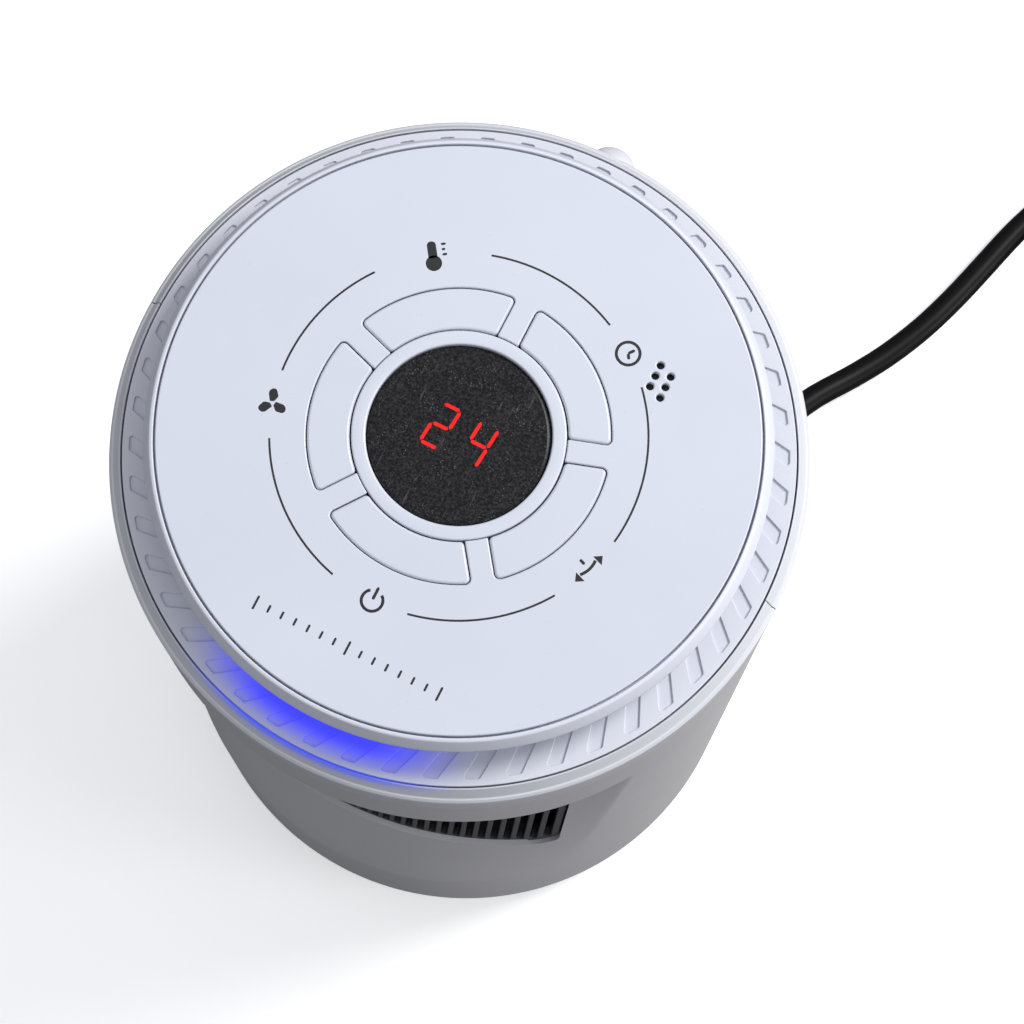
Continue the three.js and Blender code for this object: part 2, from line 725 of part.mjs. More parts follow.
function displayLens() {
  const top = panelTop - lensDrop;
  return turned([[0, top - lensThickness], [lensR, top - lensThickness], [lensR, top - 0.5],
    [lensR - 0.6, top], [0, top]], 32);
}

const boardTop = keyBottom - keyStemLength - keyTravel - gap - 3;

// Control board with one switch block under each key's stem.
function controlBoard() {
  const disc = rod(capWallR - capWall - 4.8, boardTop - 1.6, boardTop, 32);
  const block = box(-3, 3, -stemMiddleR - 3, -stemMiddleR + 3, boardTop - 0.5, boardTop + 3);
  return join(disc, ...keyTurns.map((turn) => moved(block, 0, 0, 0, turn)));
}

function displayModule() {
  const top = panelTop - lensDrop - lensThickness - gap;
  return box(-13, 13, -8, 8, boardTop + gap, top);
}

const buzzer = () => moved(rod(6, boardTop + gap, panelBottom - 0.8), ...buzzerAt);

// Arc-shaped lamp board under the front of the light ring, with one raised lamp every few degrees.
function lampBoard() {
  const top = collarTop - ringThickness - 3;
  const inner = ringInnerR + 2;
  const outer = inner + 9;
  const profile = [[inner, top - 1.4], [outer, top - 1.4], [outer, top], [inner, top]];
  const board = swept(() => profile, spread(-32, 32, 8));
  const lamps = spread(-24, 24, 4).map((turn) => moved(box(-2.5, 2.5, 2 - outer, 7 - outer, top - 0.5, top + 1.8), 0, 0, 0, turn));
  return join(board, ...lamps);
}

// ---------------------------------------------------------------- heater and fan

// The frame's front corners lie on an arc inside the scoop's.
const frameHalf = Math.sqrt((scoopArcR - frameScoopRoom) ** 2 - (scoopArcY - frameFrontY) ** 2);
const elementWidth = 2 * (frameHalf - frameBorder);
const elementZ0 = fanZ + 5 - elementHeight / 2;
const elementZ1 = elementZ0 + elementHeight;

function elementFrame() {
  const w = elementWidth / 2 + frameBorder;
  const y0 = elementY - elementDepth / 2 - frameLap;
  const y1 = elementY + elementDepth / 2 + frameLap;
  const inner = elementWidth / 2 + gap;
  const outer = box(-w, w, y0, y1, elementZ0 - frameBorder, elementZ1 + frameBorder);
  return cut(outer, box(-inner, inner, y0 - 1, y1 + 1, elementZ0 - gap, elementZ1 + gap));
}

// Ceramic heating element: level bars of heating stones between two upright end rails.
function ceramicElement() {
  const y0 = elementY - elementDepth / 2;
  const y1 = elementY + elementDepth / 2;
  const w = elementWidth / 2;
  const rails = [box(-w, -w + 4, y0, y1, elementZ0, elementZ1), box(w - 4, w, y0, y1, elementZ0, elementZ1)];
  const pitch = (elementHeight - 4) / (elementBars - 1);
  const bars = spread(0, elementBars - 1, elementBars - 1).map((i) => {
    const z = elementZ0 + i * pitch;
    return box(-w + 3, w - 3, y0 + 1, y1 - 1, z, z + 4);
  });
  return join(...rails, ...bars);
}

// Corrugated aluminium strip between two heating bars, as one thin folded plate.
function heatFin(row) {
  const pitch = (elementHeight - 4) / (elementBars - 1);
  const z0 = elementZ0 + row * pitch + 4 + gap;
  const z1 = elementZ0 + (row + 1) * pitch - gap;
  const w = elementWidth / 2 - 4 - gap - 1;
  const folds = 24;
  const upper = spread(0, folds, folds).map((i) =>
    new THREE.Vector2(-w + (2 * w * i) / folds, i % 2 ? z1 - 0.9 : z0 + 0.9));
  const thick = 0.9;
  const points = [...upper.map((p) => new THREE.Vector2(p.x, p.y + thick / 2)),
    ...upper.reverse().map((p) => new THREE.Vector2(p.x, p.y - thick / 2))];
  const y = elementY + elementDepth / 2 - 2;
  return prism(new THREE.Shape(points), 0, elementDepth - 4).rotateX(Math.PI / 2).translate(0, y, 0);
}

function thermalCutout() {
  const z = elementZ1 + frameBorder + gap;
  return join(box(-9, 9, elementY - 5, elementY + 5, z, z + 1.5), moved(rod(4.6, z + 1, z + 6), 0, elementY));
}

// Duct from the fan to the element: a square mouth in front, a round fan opening behind.
function fanDuct() {
  const w = elementWidth / 2 + frameBorder;
  const front = elementY + elementDepth / 2 + frameLap + gap;
  const back = fanY + fanDepth / 2 + 1;
  const z0 = elementZ0 - frameBorder;
  const z1 = elementZ1 + frameBorder;
  const ringR = fanR + fanTipGap;
  const sleeve = cut(box(-w, w, front, 4, z0, z1), box(-w + 2, w - 2, front - 1, 2, z0 + 2, z1 - 2));
  const ring = moved(alongY(tube(ringR, ringR + 3, 2, back, 28)), 0, 0, fanZ);
  const opening = moved(alongY(rod(ringR, 0, back + 1, 28)), 0, 0, fanZ);
  return cut(join(sleeve, ring), opening);
}

const hubR = 18;

function impeller() {
  const back = fanY + fanDepth / 2;
  const bore = fanShaftR + gap;
  const hub = moved(alongY(turned([[0, fanY - fanDepth / 2], [hubR - 3, fanY - fanDepth / 2],
    [hubR, fanY - fanDepth / 2 + 3], [hubR, back], [bore, back], [bore, fanY], [0, fanY]], 16)), 0, 0, fanZ);
  const blades = spread(0, fanBlades - 1, fanBlades - 1).map((i) => {
    const span = fanR - hubR + 2;
    const blade = new THREE.BoxGeometry(26, 1.8, span, 1, 1, 2);
    blade.rotateZ(rad(35)).translate(0, 0, hubR - 2 + span / 2);
    blade.rotateY((tau * i) / fanBlades).translate(0, fanY, fanZ);
    return blade;
  });
  const rimmed = join(hub, ...blades);
  const limit = moved(alongY(rod(fanR, fanY - fanDepth / 2, back, 28)), 0, 0, fanZ);
  return toGeometry(toSolid(rimmed).intersect(toSolid(limit)));
}

const motorFront = fanY + fanDepth / 2 + 3;

function fanShaft() {
  return moved(alongY(rod(fanShaftR, fanY + gap, motorFront - gap)), 0, 0, fanZ);
}

function fanMotor() {
  const end = motorFront + fanMotorLength;
  return moved(alongY(turned([[0, motorFront], [fanMotorR - 2, motorFront], [fanMotorR, motorFront + 2],
    [fanMotorR, end - 2], [fanMotorR - 2, end], [8, end], [8, end + 3], [0, end + 3]], 24)), 0, 0, fanZ);
}

function motorBracket() {
  const y0 = motorFront + 4;
  const ringR = fanR + fanTipGap;
  const clamp = moved(alongY(tube(fanMotorR + 0.5, fanMotorR + 3, y0, y0 + 5, 20)), 0, 0, fanZ);
  const rim = moved(alongY(tube(ringR, ringR + 3, y0 - 2, y0 + 3, 28)), 0, 0, fanZ);
  const arms = [90, 210, 330].map((turn) =>
    box(fanMotorR + 2, ringR + 1, y0, y0 + 3, -3, 3).rotateY(rad(turn)).translate(0, 0, fanZ));
  return join(clamp, rim, ...arms);
}

function powerBoard() {
  const z = floorZ + floorThickness + 4 + gap;
  const board = box(-46, 46, -60, -16, z, z + 1.6);
  const parts = [
    box(-40, -22, -52, -34, z + 1, z + 18), box(-16, 2, -52, -38, z + 1, z + 16),
    moved(rod(8, z + 1, z + 24), 22, -36), box(-40, -12, -30, -20, z + 1, z + 12),
    box(10, 40, -24, -18, z + 1, z + 20),
  ];
  return join(board, ...parts);
}

function swingMotor() {
  const z = floorZ + floorThickness + gap;
  const can = rod(swingMotorR, z, z + swingMotorHeight, 28);
  const plug = box(-8, 8, swingMotorR - 2, swingMotorR + 5, z, z + 9);
  return moved(join(can, plug), 0, gearCentres);
}

// ---------------------------------------------------------------- assembly

const heater = new THREE.Group();

function add(parent, name, geometry, surface) {
  const piece = new THREE.Mesh(closed(geometry), surface);
  piece.name = name;
  parent.add(piece);
}

const base = new THREE.Group();
heater.add(base);
add(base, 'base_housing', baseHousing(), whitePlastic);
add(base, 'base_plate', basePlate(), darkPlastic);
footTurns.forEach((turn, i) => add(base, `foot_${i + 1}`, onCircle(foot(), footCircleR, turn), rubber));
bossTurns.forEach((turn, i) => add(base, `base_screw_${i + 1}`, onCircle(baseScrew(), screwCircleR, turn), steel));
add(base, 'tip_switch_body', tipSwitchBody(), darkPlastic);
add(base, 'tip_plunger', tipPlunger(), nylon);
add(base, 'fixed_gear', fixedGear(), nylon);
add(base, 'glide_ring', glideRing(), nylon);
add(base, 'pivot_retainer', pivotRetainer(), nylon);
add(base, 'cord_gland', cordGland(), cordPlastic);
add(base, 'power_cord', cordTube(cordRoute, 10), cordPlastic);
add(base, 'cord_tail', cordTube(tailRoute, 4), cordPlastic);
add(base, 'cord_coil', cordCoil(), cordPlastic);
add(base, 'cord_tie', cordTie(), cordPlastic);
add(base, 'mains_plug', mainsPlug(), cordPlastic);

const tower = new THREE.Group();
heater.add(tower);
add(tower, 'tower_floor', towerFloor(), greyPlastic);
add(tower, 'front_shell', frontShell(), whitePlastic);
add(tower, 'rear_shell', rearShell(), whitePlastic);
add(tower, 'outlet_grille', outletGrille(), darkPlastic);
add(tower, 'rear_grille', rearGrille(), whitePlastic);
add(tower, 'dust_filter', dustFilter(), greyPlastic);
add(tower, 'collar_front', collarHalf(0), whitePlastic);
add(tower, 'collar_rear', collarRear(), whitePlastic);
add(tower, 'top_deck', topDeck(), greyPlastic);
add(tower, 'light_ring', lightRing(), diffuser);
add(tower, 'lamp_board', lampBoard(), boardGreen);
add(tower, 'control_cap', controlCap(), whiteGloss);
add(tower, 'control_panel', controlPanel(), whitePlastic);
add(tower, 'display_bezel', displayBezel(), whitePlastic);
add(tower, 'display_lens', displayLens(), blackGloss);
add(tower, 'display_module', displayModule(), darkPlastic);
add(tower, 'control_board', controlBoard(), boardGreen);
add(tower, 'buzzer', buzzer(), darkPlastic);
const keyNames = ['key_power', 'key_swing', 'key_timer', 'key_temperature', 'key_mode'];
keyTurns.forEach((turn, i) => add(tower, keyNames[i], key(turn), whitePlastic));
add(tower, 'element_frame', elementFrame(), darkPlastic);
add(tower, 'ceramic_element', ceramicElement(), ceramic);
for (let row = 0; row + 1 < elementBars; row += 1) add(tower, `heat_fin_${row + 1}`, heatFin(row), aluminium);
add(tower, 'thermal_cutout', thermalCutout(), steel);
add(tower, 'fan_duct', fanDuct(), greyPlastic);
add(tower, 'impeller', impeller(), darkPlastic);
add(tower, 'fan_shaft', fanShaft(), steel);
add(tower, 'fan_motor', fanMotor(), steel);
add(tower, 'motor_bracket', motorBracket(), greyPlastic);
add(tower, 'power_board', powerBoard(), boardGreen);
add(tower, 'swing_motor', swingMotor(), steel);
add(tower, 'pinion', pinion(), nylon);

export default heater;
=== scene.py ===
# %% [markdown]
# # A round ceramic heater with a control cap
# The heater is a white tower on a flat base. Its looks live in a few places: the smooth disc with
# five keys and a red readout, the slotted ring that a blue lamp lights from below, the soft scoop in
# the front wall, and the black cord. The imported model gives every size, so it is loaded first.

# %% Load the frame
import math

import bmesh
import bpy
from mathutils import Matrix, Vector


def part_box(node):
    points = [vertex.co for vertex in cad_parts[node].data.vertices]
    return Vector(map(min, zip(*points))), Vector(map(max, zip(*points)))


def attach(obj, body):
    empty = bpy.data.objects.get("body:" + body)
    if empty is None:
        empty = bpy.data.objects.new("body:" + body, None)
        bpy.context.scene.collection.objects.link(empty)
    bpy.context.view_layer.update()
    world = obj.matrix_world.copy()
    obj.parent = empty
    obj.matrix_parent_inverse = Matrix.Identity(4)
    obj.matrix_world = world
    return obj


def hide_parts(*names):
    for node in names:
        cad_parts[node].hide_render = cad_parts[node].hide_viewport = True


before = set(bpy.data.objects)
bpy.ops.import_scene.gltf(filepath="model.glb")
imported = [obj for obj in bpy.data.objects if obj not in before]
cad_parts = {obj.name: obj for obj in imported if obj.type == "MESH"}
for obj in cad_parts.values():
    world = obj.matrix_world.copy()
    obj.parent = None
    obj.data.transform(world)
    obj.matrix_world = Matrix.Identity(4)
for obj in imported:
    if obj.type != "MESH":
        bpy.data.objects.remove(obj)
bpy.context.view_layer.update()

MM = 0.001

# %% [markdown]
# ## Sizes from the frame
# A maker measures the part instead of guessing. Each value below is read from the box of a packed
# node and turned into millimetres, so the fine pieces sit exactly where the plain solids are.

# %% Read the driving sizes


def low(node):
    """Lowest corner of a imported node, in millimetres."""
    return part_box(node)[0] / MM


def high(node):
    """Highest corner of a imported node, in millimetres."""
    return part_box(node)[1] / MM


BODY_R = high("rear_shell").x
WALL = 2.5
BODY_BOTTOM = low("rear_shell").z
SEAM_Z = high("rear_shell").z
COLLAR_R = high("collar_front").x
COLLAR_BOTTOM = low("collar_front").z
COLLAR_TOP = high("collar_front").z
RING_R = high("light_ring").x
CAP_R = high("control_cap").x
CAP_BOTTOM = low("control_cap").z
PANEL_TOP = high("control_panel").z
PANEL_BOTTOM = low("control_panel").z
PANEL_R = high("control_panel").x
BEZEL_R = high("display_bezel").x
LENS_R = high("display_lens").x
LENS_TOP = high("display_lens").z
LENS_BOTTOM = low("display_lens").z
BASE_R = high("base_housing").x
print("body radius", BODY_R, "panel top", PANEL_TOP, "collar", COLLAR_BOTTOM, COLLAR_TOP)

# %% [markdown]
# ## Camera
# The heater is seen from almost straight above, a little from its front right. A long lens, about
# 105 mm, keeps the disc nearly round. The camera is placed by its eye point and its line of sight,
# and then rolled by two degrees.

# %% Place the camera
EYE = Vector((84.3, -150.5, 967.2)) * MM
SIGHT = Vector((-0.0917, 0.1976, -0.976)).normalized()
ROLL = math.radians(1.85)
LENS_MM = 105.5

backward = -SIGHT
level_right = Vector((0, 0, 1)).cross(backward).normalized()
level_up = backward.cross(level_right)
right = level_right * math.cos(ROLL) + level_up * math.sin(ROLL)
up = backward.cross(right)
camera_data = bpy.data.cameras.new("studio_camera")
camera_data.lens = LENS_MM
camera_data.sensor_width = 36
camera = bpy.data.objects.new("studio_camera", camera_data)
placed = Matrix((right, up, backward)).transposed().to_4x4()
placed.translation = EYE
camera.matrix_world = placed
bpy.context.scene.collection.objects.link(camera)
bpy.context.scene.camera = camera
print("camera height", round(EYE.z, 3), "m, lens", LENS_MM)

# %% [markdown]
# ## Helpers that shape plastic
# Moulded plastic never has a perfectly sharp edge, and a thin bright line along every edge is what
# tells the eye that a part is real. So the helpers round corners as they make shapes. `rounded`
# turns a list of corners with radii into a smooth outline. `turned` spins an outline about the
# vertical axis, all the way or part of the way. `plate` fills flat outlines, holes and all, and
# gives the edges a round bevel. `sliced` cuts such a plate into strips, and `wrapped` bends it.

# %% Outlines
SHARED_LEG = 0.48
WHOLE_LEG = 0.98


def rounded(corners, steps=5):
    """A closed outline from (across, up, corner radius) triples."""
    points = []
    count = len(corners)
    for i, (x, y, radius) in enumerate(corners):
        here = Vector((x, y))
        to_last = Vector(corners[i - 1][:2]) - here
        to_next = Vector(corners[(i + 1) % count][:2]) - here
        half = to_last.angle(to_next) / 2
        if radius <= 0 or half > math.radians(89):
            points.append((x, y))
            continue
        legs = ((corners[i - 1], to_last), (corners[(i + 1) % count], to_next))
        room = min((SHARED_LEG if near[2] else WHOLE_LEG) * leg.length for near, leg in legs)
        reach = min(radius / math.tan(half), room)
        true_radius = reach * math.tan(half)
        toward = (to_last.normalized() + to_next.normalized()).normalized()
        centre = here + toward * (true_radius / math.sin(half))
        first = here + to_last.normalized() * reach - centre
        last = here + to_next.normalized() * reach - centre
        start = math.atan2(first.y, first.x)
        sweep = math.atan2(last.y, last.x) - start
        sweep = (sweep + math.pi) % math.tau - math.pi
        for k in range(steps + 1):
            turn = start + sweep * k / steps
            points.append((centre.x + true_radius * math.cos(turn),
                           centre.y + true_radius * math.sin(turn)))
    return points


def soft_box(x0, y0, x1, y1, low_round, high_round, steps=5):
    """A rectangle with one radius for its two lower corners and one for its two upper ones."""
    return rounded([(x0, y0, low_round), (x1, y0, low_round),
                    (x1, y1, high_round), (x0, y1, high_round)], steps)


def circle(radius, centre=(0, 0), steps=180):
    return [(centre[0] + radius * math.cos(math.tau * k / steps),
             centre[1] + radius * math.sin(math.tau * k / steps)) for k in range(steps)]


def around(angle, radius):
    """A point on a circle, by its angle in degrees from the front, positive towards +X."""
    turn = math.radians(angle)
    return radius * math.sin(turn), -radius * math.cos(turn)


# %% Meshes
TURNED_EDGE = 32
PLATE_EDGE = 40
WALL_EDGE = 30


def new_piece(name, mesh, sharp=TURNED_EDGE, weighted=False):
    """Shades a mesh smooth up to an edge angle, and puts it in the scene."""
    mesh.shade_smooth()
    mesh.set_sharp_from_angle(angle=math.radians(sharp))
    piece = bpy.data.objects.new(name, mesh)
    bpy.context.scene.collection.objects.link(piece)
    if weighted:
        normals = piece.modifiers.new("flat_faces_rule", "WEIGHTED_NORMAL")
        normals.keep_sharp = True
    return piece


def face_outwards(mesh, join=0.0):
    """Joins points nearer than join, in metres, and turns every face outwards."""
    bm = bmesh.new()
    bm.from_mesh(mesh)
    if join:
        bmesh.ops.remove_doubles(bm, verts=bm.verts, dist=join)
    bmesh.ops.recalc_face_normals(bm, faces=bm.faces)
    bm.to_mesh(mesh)
    bm.free()


def clean_mesh(name, points, faces):
    """A mesh from points in millimetres."""
    mesh = bpy.data.meshes.new(name)
    mesh.from_pydata([Vector(p) * MM for p in points], [], faces)
    face_outwards(mesh, 2e-6)
    return mesh


def turned(name, corners, span=None, steps=180, sharp=TURNED_EDGE):
    """Spins an outline of (radius, height, corner radius) about Z; span is (from, to) in degrees."""
    outline = rounded(corners)
    whole = span is None
    first, last = span or (0, 360)
    angles = [first + (last - first) * k / steps for k in range(steps + (0 if whole else 1))]
    points = [(*around(a, r), z) for a in angles for r, z in outline]
    n = len(outline)
    faces = []
    for ring in range(len(angles) - (0 if whole else 1)):
        for k in range(n):
            a, b = ring * n + k, ring * n + (k + 1) % n
            c, d = (b + n) % len(points), (a + n) % len(points)
            faces.append((a, b, c, d))
    if not whole:
        faces.append(tuple(range(n)))
        faces.append(tuple(reversed(range(len(points) - n, len(points)))))
    return new_piece(name, clean_mesh(name, points, faces), sharp)


def plate_mesh(name, outlines, bottom, top, bevel, fine=3):
    """Fills flat outlines in millimetres, the holes among them left open, with round edges."""
    curve = bpy.data.curves.new(name, "CURVE")
    curve.dimensions = "2D"
    curve.fill_mode = "BOTH"
    for outline in outlines:
        spline = curve.splines.new("POLY")
        spline.points.add(len(outline) - 1)
        for point, (x, y) in zip(spline.points, outline):
            point.co = (x * MM, y * MM, 0, 1)
        spline.use_cyclic_u = True
    curve.extrude = ((top - bottom) / 2 - bevel) * MM
    curve.bevel_depth = bevel * MM
    curve.bevel_resolution = fine
    curve.offset = -bevel * MM
    holder = bpy.data.objects.new(name, curve)
    bpy.context.scene.collection.objects.link(holder)
    bpy.context.view_layer.update()
    seen = holder.evaluated_get(bpy.context.evaluated_depsgraph_get())
    mesh = bpy.data.meshes.new_from_object(seen)
    bpy.data.objects.remove(holder)
    mesh.materials.clear()
    mesh.transform(Matrix.Translation((0, 0, (top + bottom) / 2 * MM)))
    face_outwards(mesh, 1e-6)
    return mesh


def plate(name, outlines, bottom, top, bevel, fine=3):
    mesh = plate_mesh(name, outlines, bottom, top, bevel, fine)
    return new_piece(name, mesh, PLATE_EDGE, weighted=True)


def sliced(mesh, axis, places):
    """Cuts a mesh across one axis at each place, so that it can bend there."""
    normal = Vector([1.0 if k == axis else 0.0 for k in range(3)])
    bm = bmesh.new()
    bm.from_mesh(mesh)
    for place in places:
        bmesh.ops.bisect_plane(bm, geom=bm.verts[:] + bm.edges[:] + bm.faces[:],
                               plane_co=normal * place * MM, plane_no=normal, dist=1e-7)
    bm.to_mesh(mesh)
    bm.free()


def wrapped(name, mesh, shape):
    """Bends a flat plate: shape takes its (across, up, out) in millimetres and gives the point."""
    for vert in mesh.vertices:
        vert.co = Vector(shape(*(vert.co / MM))) * MM
    face_outwards(mesh)
    return new_piece(name, mesh, PLATE_EDGE, weighted=True)


def spread(first, last, steps):
    return [first + (last - first) * k / steps for k in range(steps + 1)]


def joined(name, pieces):
    """Makes one piece of several, under a new name."""
    bm = bmesh.new()
    for piece in pieces:
        bm.from_mesh(piece.data)
    mesh = bpy.data.meshes.new(name)
    bm.to_mesh(mesh)
    bm.free()
    for piece in pieces:
        bpy.data.objects.remove(piece)
    return new_piece(name, mesh, PLATE_EDGE, weighted=True)


# %% [markdown]
# ## Mains cord
# The cord is round black PVC, 8 mm thick and about 1.47 m long. It leaves the base inside a ribbed
# strain relief, drops to the floor and runs away from the heater in a lazy bend. What is left of
# its length is put away in a flat coil of two layers, held by a clip, with the plug beside it. One
# smooth line holds the whole route, because a cord's length can then be measured.

# %% Work out the cord's line
CORD_R = 4.0
EXIT_ANGLE = math.radians(61.5)
EXIT_Z = 8.75
FLOOR_LAY = 4.05
RELIEF_END = 112.0

FREE_RUN = [
    (53.7, 98.95, 8.75), (59.6, 110.9, 8.2), (66.0, 124.0, 6.9), (73.8, 136.0, 5.0),
    (81.2, 148.4, 4.1), (87.9, 162.6, 4.05), (93.0, 177.0, 4.05), (97.0, 190.9, 4.05), (101.3, 206.2, 4.05),
    (106.2, 219.6, 4.05), (111.2, 231.6, 4.05),
]
TAIL_RUN = [(223.6, 200.2, 10.9), (222.4, 191, 10.2), (221, 181, 9.5), (220.2, 171, 9.1)]

coil_low, coil_high = low("cord_coil"), high("cord_coil")
coil_middle = (coil_low + coil_high) / 2
COIL_TURNS = 4.5
COIL_INNER = 34.0
COIL_PITCH = 8.0
COIL_LIFT = 8.1
LEAD_IN = 8.8
LEAD_IN_TURNS = 0.069


def coil_point(turns):
    """A point of the coil: inwards on the floor, up, and outwards again on top of it."""
    half = COIL_TURNS / 2
    radius = COIL_INNER + COIL_PITCH * abs(turns - half)
    radius += LEAD_IN * math.exp(-turns / LEAD_IN_TURNS)
    climb = min(1, max(0, (turns - half + 0.2) / 0.55))
    lift = COIL_LIFT * climb * climb * (3 - 2 * climb)
    angle = math.pi - math.tau * turns
    return (coil_middle.x + radius * math.cos(angle),
            coil_middle.y + radius * math.sin(angle), FLOOR_LAY + lift)


def exit_point(distance):
    return distance * math.cos(EXIT_ANGLE), distance * math.sin(EXIT_ANGLE), EXIT_Z


plug_low, plug_high = low("mains_plug"), high("mains_plug")
BLADE_LENGTH = 17.0
PLUG_AXIS_Z = 9.0
plug_middle = (plug_low.x + plug_high.x) / 2
plug_front = plug_low.y + BLADE_LENGTH
plug_back = Vector((plug_middle, plug_high.y, PLUG_AXIS_Z))
STEPS_A_TURN = 24
RELIEF_STEPS = (83.5, 90, 97, 104.5)
knots = [exit_point(d) for d in RELIEF_STEPS]
knots += FREE_RUN
knots += [coil_point(k / STEPS_A_TURN) for k in range(1, int(COIL_TURNS * STEPS_A_TURN) + 1)]
knots += TAIL_RUN + [tuple(plug_back)]


def smooth_line(points, steps):
    """A Catmull-Rom line through points."""
    line = []
    padded = [points[0], *points, points[-1]]
    for a, b, c, d in zip(padded, padded[1:], padded[2:], padded[3:]):
        a, b, c, d = Vector(a), Vector(b), Vector(c), Vector(d)
        for k in range(steps):
            t = k / steps
            line.append(0.5 * ((2 * b) + (c - a) * t + (2 * a - 5 * b + 4 * c - d) * t * t
                               + (3 * b - a - 3 * c + d) * t ** 3))
    line.append(Vector(points[-1]))
    return line


cord_line = smooth_line(knots, 3)

# %% Make the cord


def cord_piece():
    curve = bpy.data.curves.new("mains_cord", "CURVE")
    curve.dimensions = "3D"
    spline = curve.splines.new("POLY")
    spline.points.add(len(cord_line) - 1)
    for point, place in zip(spline.points, cord_line):
        point.co = (*(place * MM), 1)
    curve.bevel_depth = CORD_R * MM
    curve.bevel_resolution = 6
    curve.use_fill_caps = True
    piece = bpy.data.objects.new("mains_cord", curve)
    bpy.context.scene.collection.objects.link(piece)
    return piece


mains_cord = cord_piece()

# %% [markdown]
# The strain relief is a rubber sleeve that gets thinner towards its end and has grooves, so that it
# bends evenly. The clip is a plain bridge over the bundle. The plug is a moulded body whose edges
# are well rounded, with two flat blades.

# %% Strain relief, clip and plug
RELIEF_RIBS = 9
RIB_PITCH = 2.75
CLIP_THICK = 1.5
TO_X_DEPTH = Matrix(((0, 0, 1, 0), (1, 0, 0, 0), (0, 1, 0, 0), (0, 0, 0, 1)))


def strain_relief():
    start = BASE_R + 0.3
    corners = [(CORD_R + 0.06, start, 0.2), (5.7, start, 0.3), (5.7, start + 2.4, 0.5)]
    for k in range(RELIEF_RIBS):
        near = start + 3.4 + k * RIB_PITCH
        thick = 5.35 - 0.075 * k
        corners += [(thick - 0.5, near - 0.7, 0.2), (thick, near - 0.3, 0.3),
                    (thick, near + 1.0, 0.3), (thick - 0.5, near + 1.4, 0.2)]
    corners += [(CORD_R + 0.4, RELIEF_END, 0.15), (CORD_R + 0.06, RELIEF_END, 0.1)]
    piece = turned("strain_relief", corners, steps=64, sharp=50)
    turn = Matrix.Rotation(math.pi / 2, 4, "Y")
    aim = Matrix.Rotation(EXIT_ANGLE, 4, "Z")
    piece.data.transform(Matrix.Translation((0, 0, EXIT_Z * MM)) @ aim @ turn)
    return piece


def cord_clip():
    tie_low, tie_high = low("cord_tie"), high("cord_tie")
    y0, y1, top = tie_low.y, tie_high.y, tie_high.z
    inner_y0, inner_y1, inner_top = y0 + CLIP_THICK, y1 - CLIP_THICK, top - CLIP_THICK
    bridge = rounded([(y0, 0.05, 0.3), (inner_y0, 0.05, 0.3), (inner_y0, inner_top, 1.8),
                      (inner_y1, inner_top, 1.8), (inner_y1, 0.05, 0.3), (y1, 0.05, 0.3),
                      (y1, top, 3.0), (y0, top, 3.0)])
    mesh = plate_mesh("cord_clip", [bridge], tie_low.x, tie_high.x, 0.4)
    mesh.transform(TO_X_DEPTH)
    return new_piece("cord_clip", mesh, PLATE_EDGE, weighted=True)


def mains_plug():
    length = plug_high.y - plug_front
    half = (plug_high.x - plug_low.x) / 2
    neck_half, shoulder_half = 6.5, half - 1
    back, shoulder = plug_high.y - 0.2, plug_front + 0.45 * length
    shape = [(-half, plug_front, 1.5), (half, plug_front, 1.5), (shoulder_half, shoulder, 8),
             (neck_half, back, 2), (-neck_half, back, 2), (-shoulder_half, shoulder, 8)]
    body_shape = rounded([(plug_middle + x, y, r) for x, y, r in shape], 7)
    pieces = [plate("plug_body", [body_shape], 0.15, 17.9, 3.2, fine=6)]
    for side in (-1, 1):
        for k in range(5):
            x = plug_middle + side * (half - 2.2 - 0.55 * k)
            y = plug_front + 0.34 * length + 3.0 * k
            grip = soft_box(x - 1.3, y - 0.7, x + 1.3, y + 0.7, 0.6, 0.6)
            pieces.append(plate(f"grip_{side}_{k}", [grip], 17.6, 18.3, 0.3))
    return joined("plug_moulding", pieces)


def plug_blades():
    blades = []
    tip, root = plug_low.y, plug_front + 1
    for side in (-1, 1):
        outline = rounded([(tip, 5.8, 1.8), (root, 5.8, 0), (root, 12.2, 0), (tip, 12.2, 1.8)])
        hole = circle(1.6, (tip + 5, PLUG_AXIS_Z), 28)
        mesh = plate_mesh("blade", [outline, hole], -0.75, 0.75, 0.2)
        mesh.transform(TO_X_DEPTH)
        mesh.transform(Matrix.Translation(((plug_middle + side * 6.35) * MM, 0, 0)))
        blades.append(new_piece(f"blade_{side}", mesh))
    return joined("plug_blades", blades)


relief = strain_relief()
clip = cord_clip()
plug = mains_plug()
blades = plug_blades()
print("pieces on the cord:", relief.name, clip.name, plug.name, blades.name)

# %% [markdown]
# ## The control disc
# The disc is one moulding with a polished surface. Five keys lie flush in it, and only the dark
# hairline around each one shows them. A maker can score such lines into a surface, but real gaps
# catch the light as real gaps do, so the disc has true openings and each key is a piece of its own.

# %% Key shapes
KEY_INNER_R = 25.9
KEY_OUTER_R = 36.0
SPOKE = 6.0
KEY_GAP = 0.26
BEZEL_GAP = 0.22
KEY_DEPTH = 2.4
KEYS = ["key_power", "key_swing", "key_timer", "key_temperature", "key_mode"]
HALF_PITCH = 36
KEY_ANGLES = [2 * HALF_PITCH * k for k in range(len(KEYS))]


def key_corners(grow):
    """A key's outer and inner radius and half angles: its ends run along the spokes beside it."""
    spoke = SPOKE / 2 - grow
    outer, inner = KEY_OUTER_R + grow, KEY_INNER_R - grow
    wide = HALF_PITCH - math.degrees(math.asin(spoke / outer))
    narrow = HALF_PITCH - math.degrees(math.asin(spoke / inner))
    return outer, inner, wide, narrow


def arc(middle, radius, first, last, steps):
    return [(*around(middle + a, radius), 0) for a in spread(first, last, steps)]


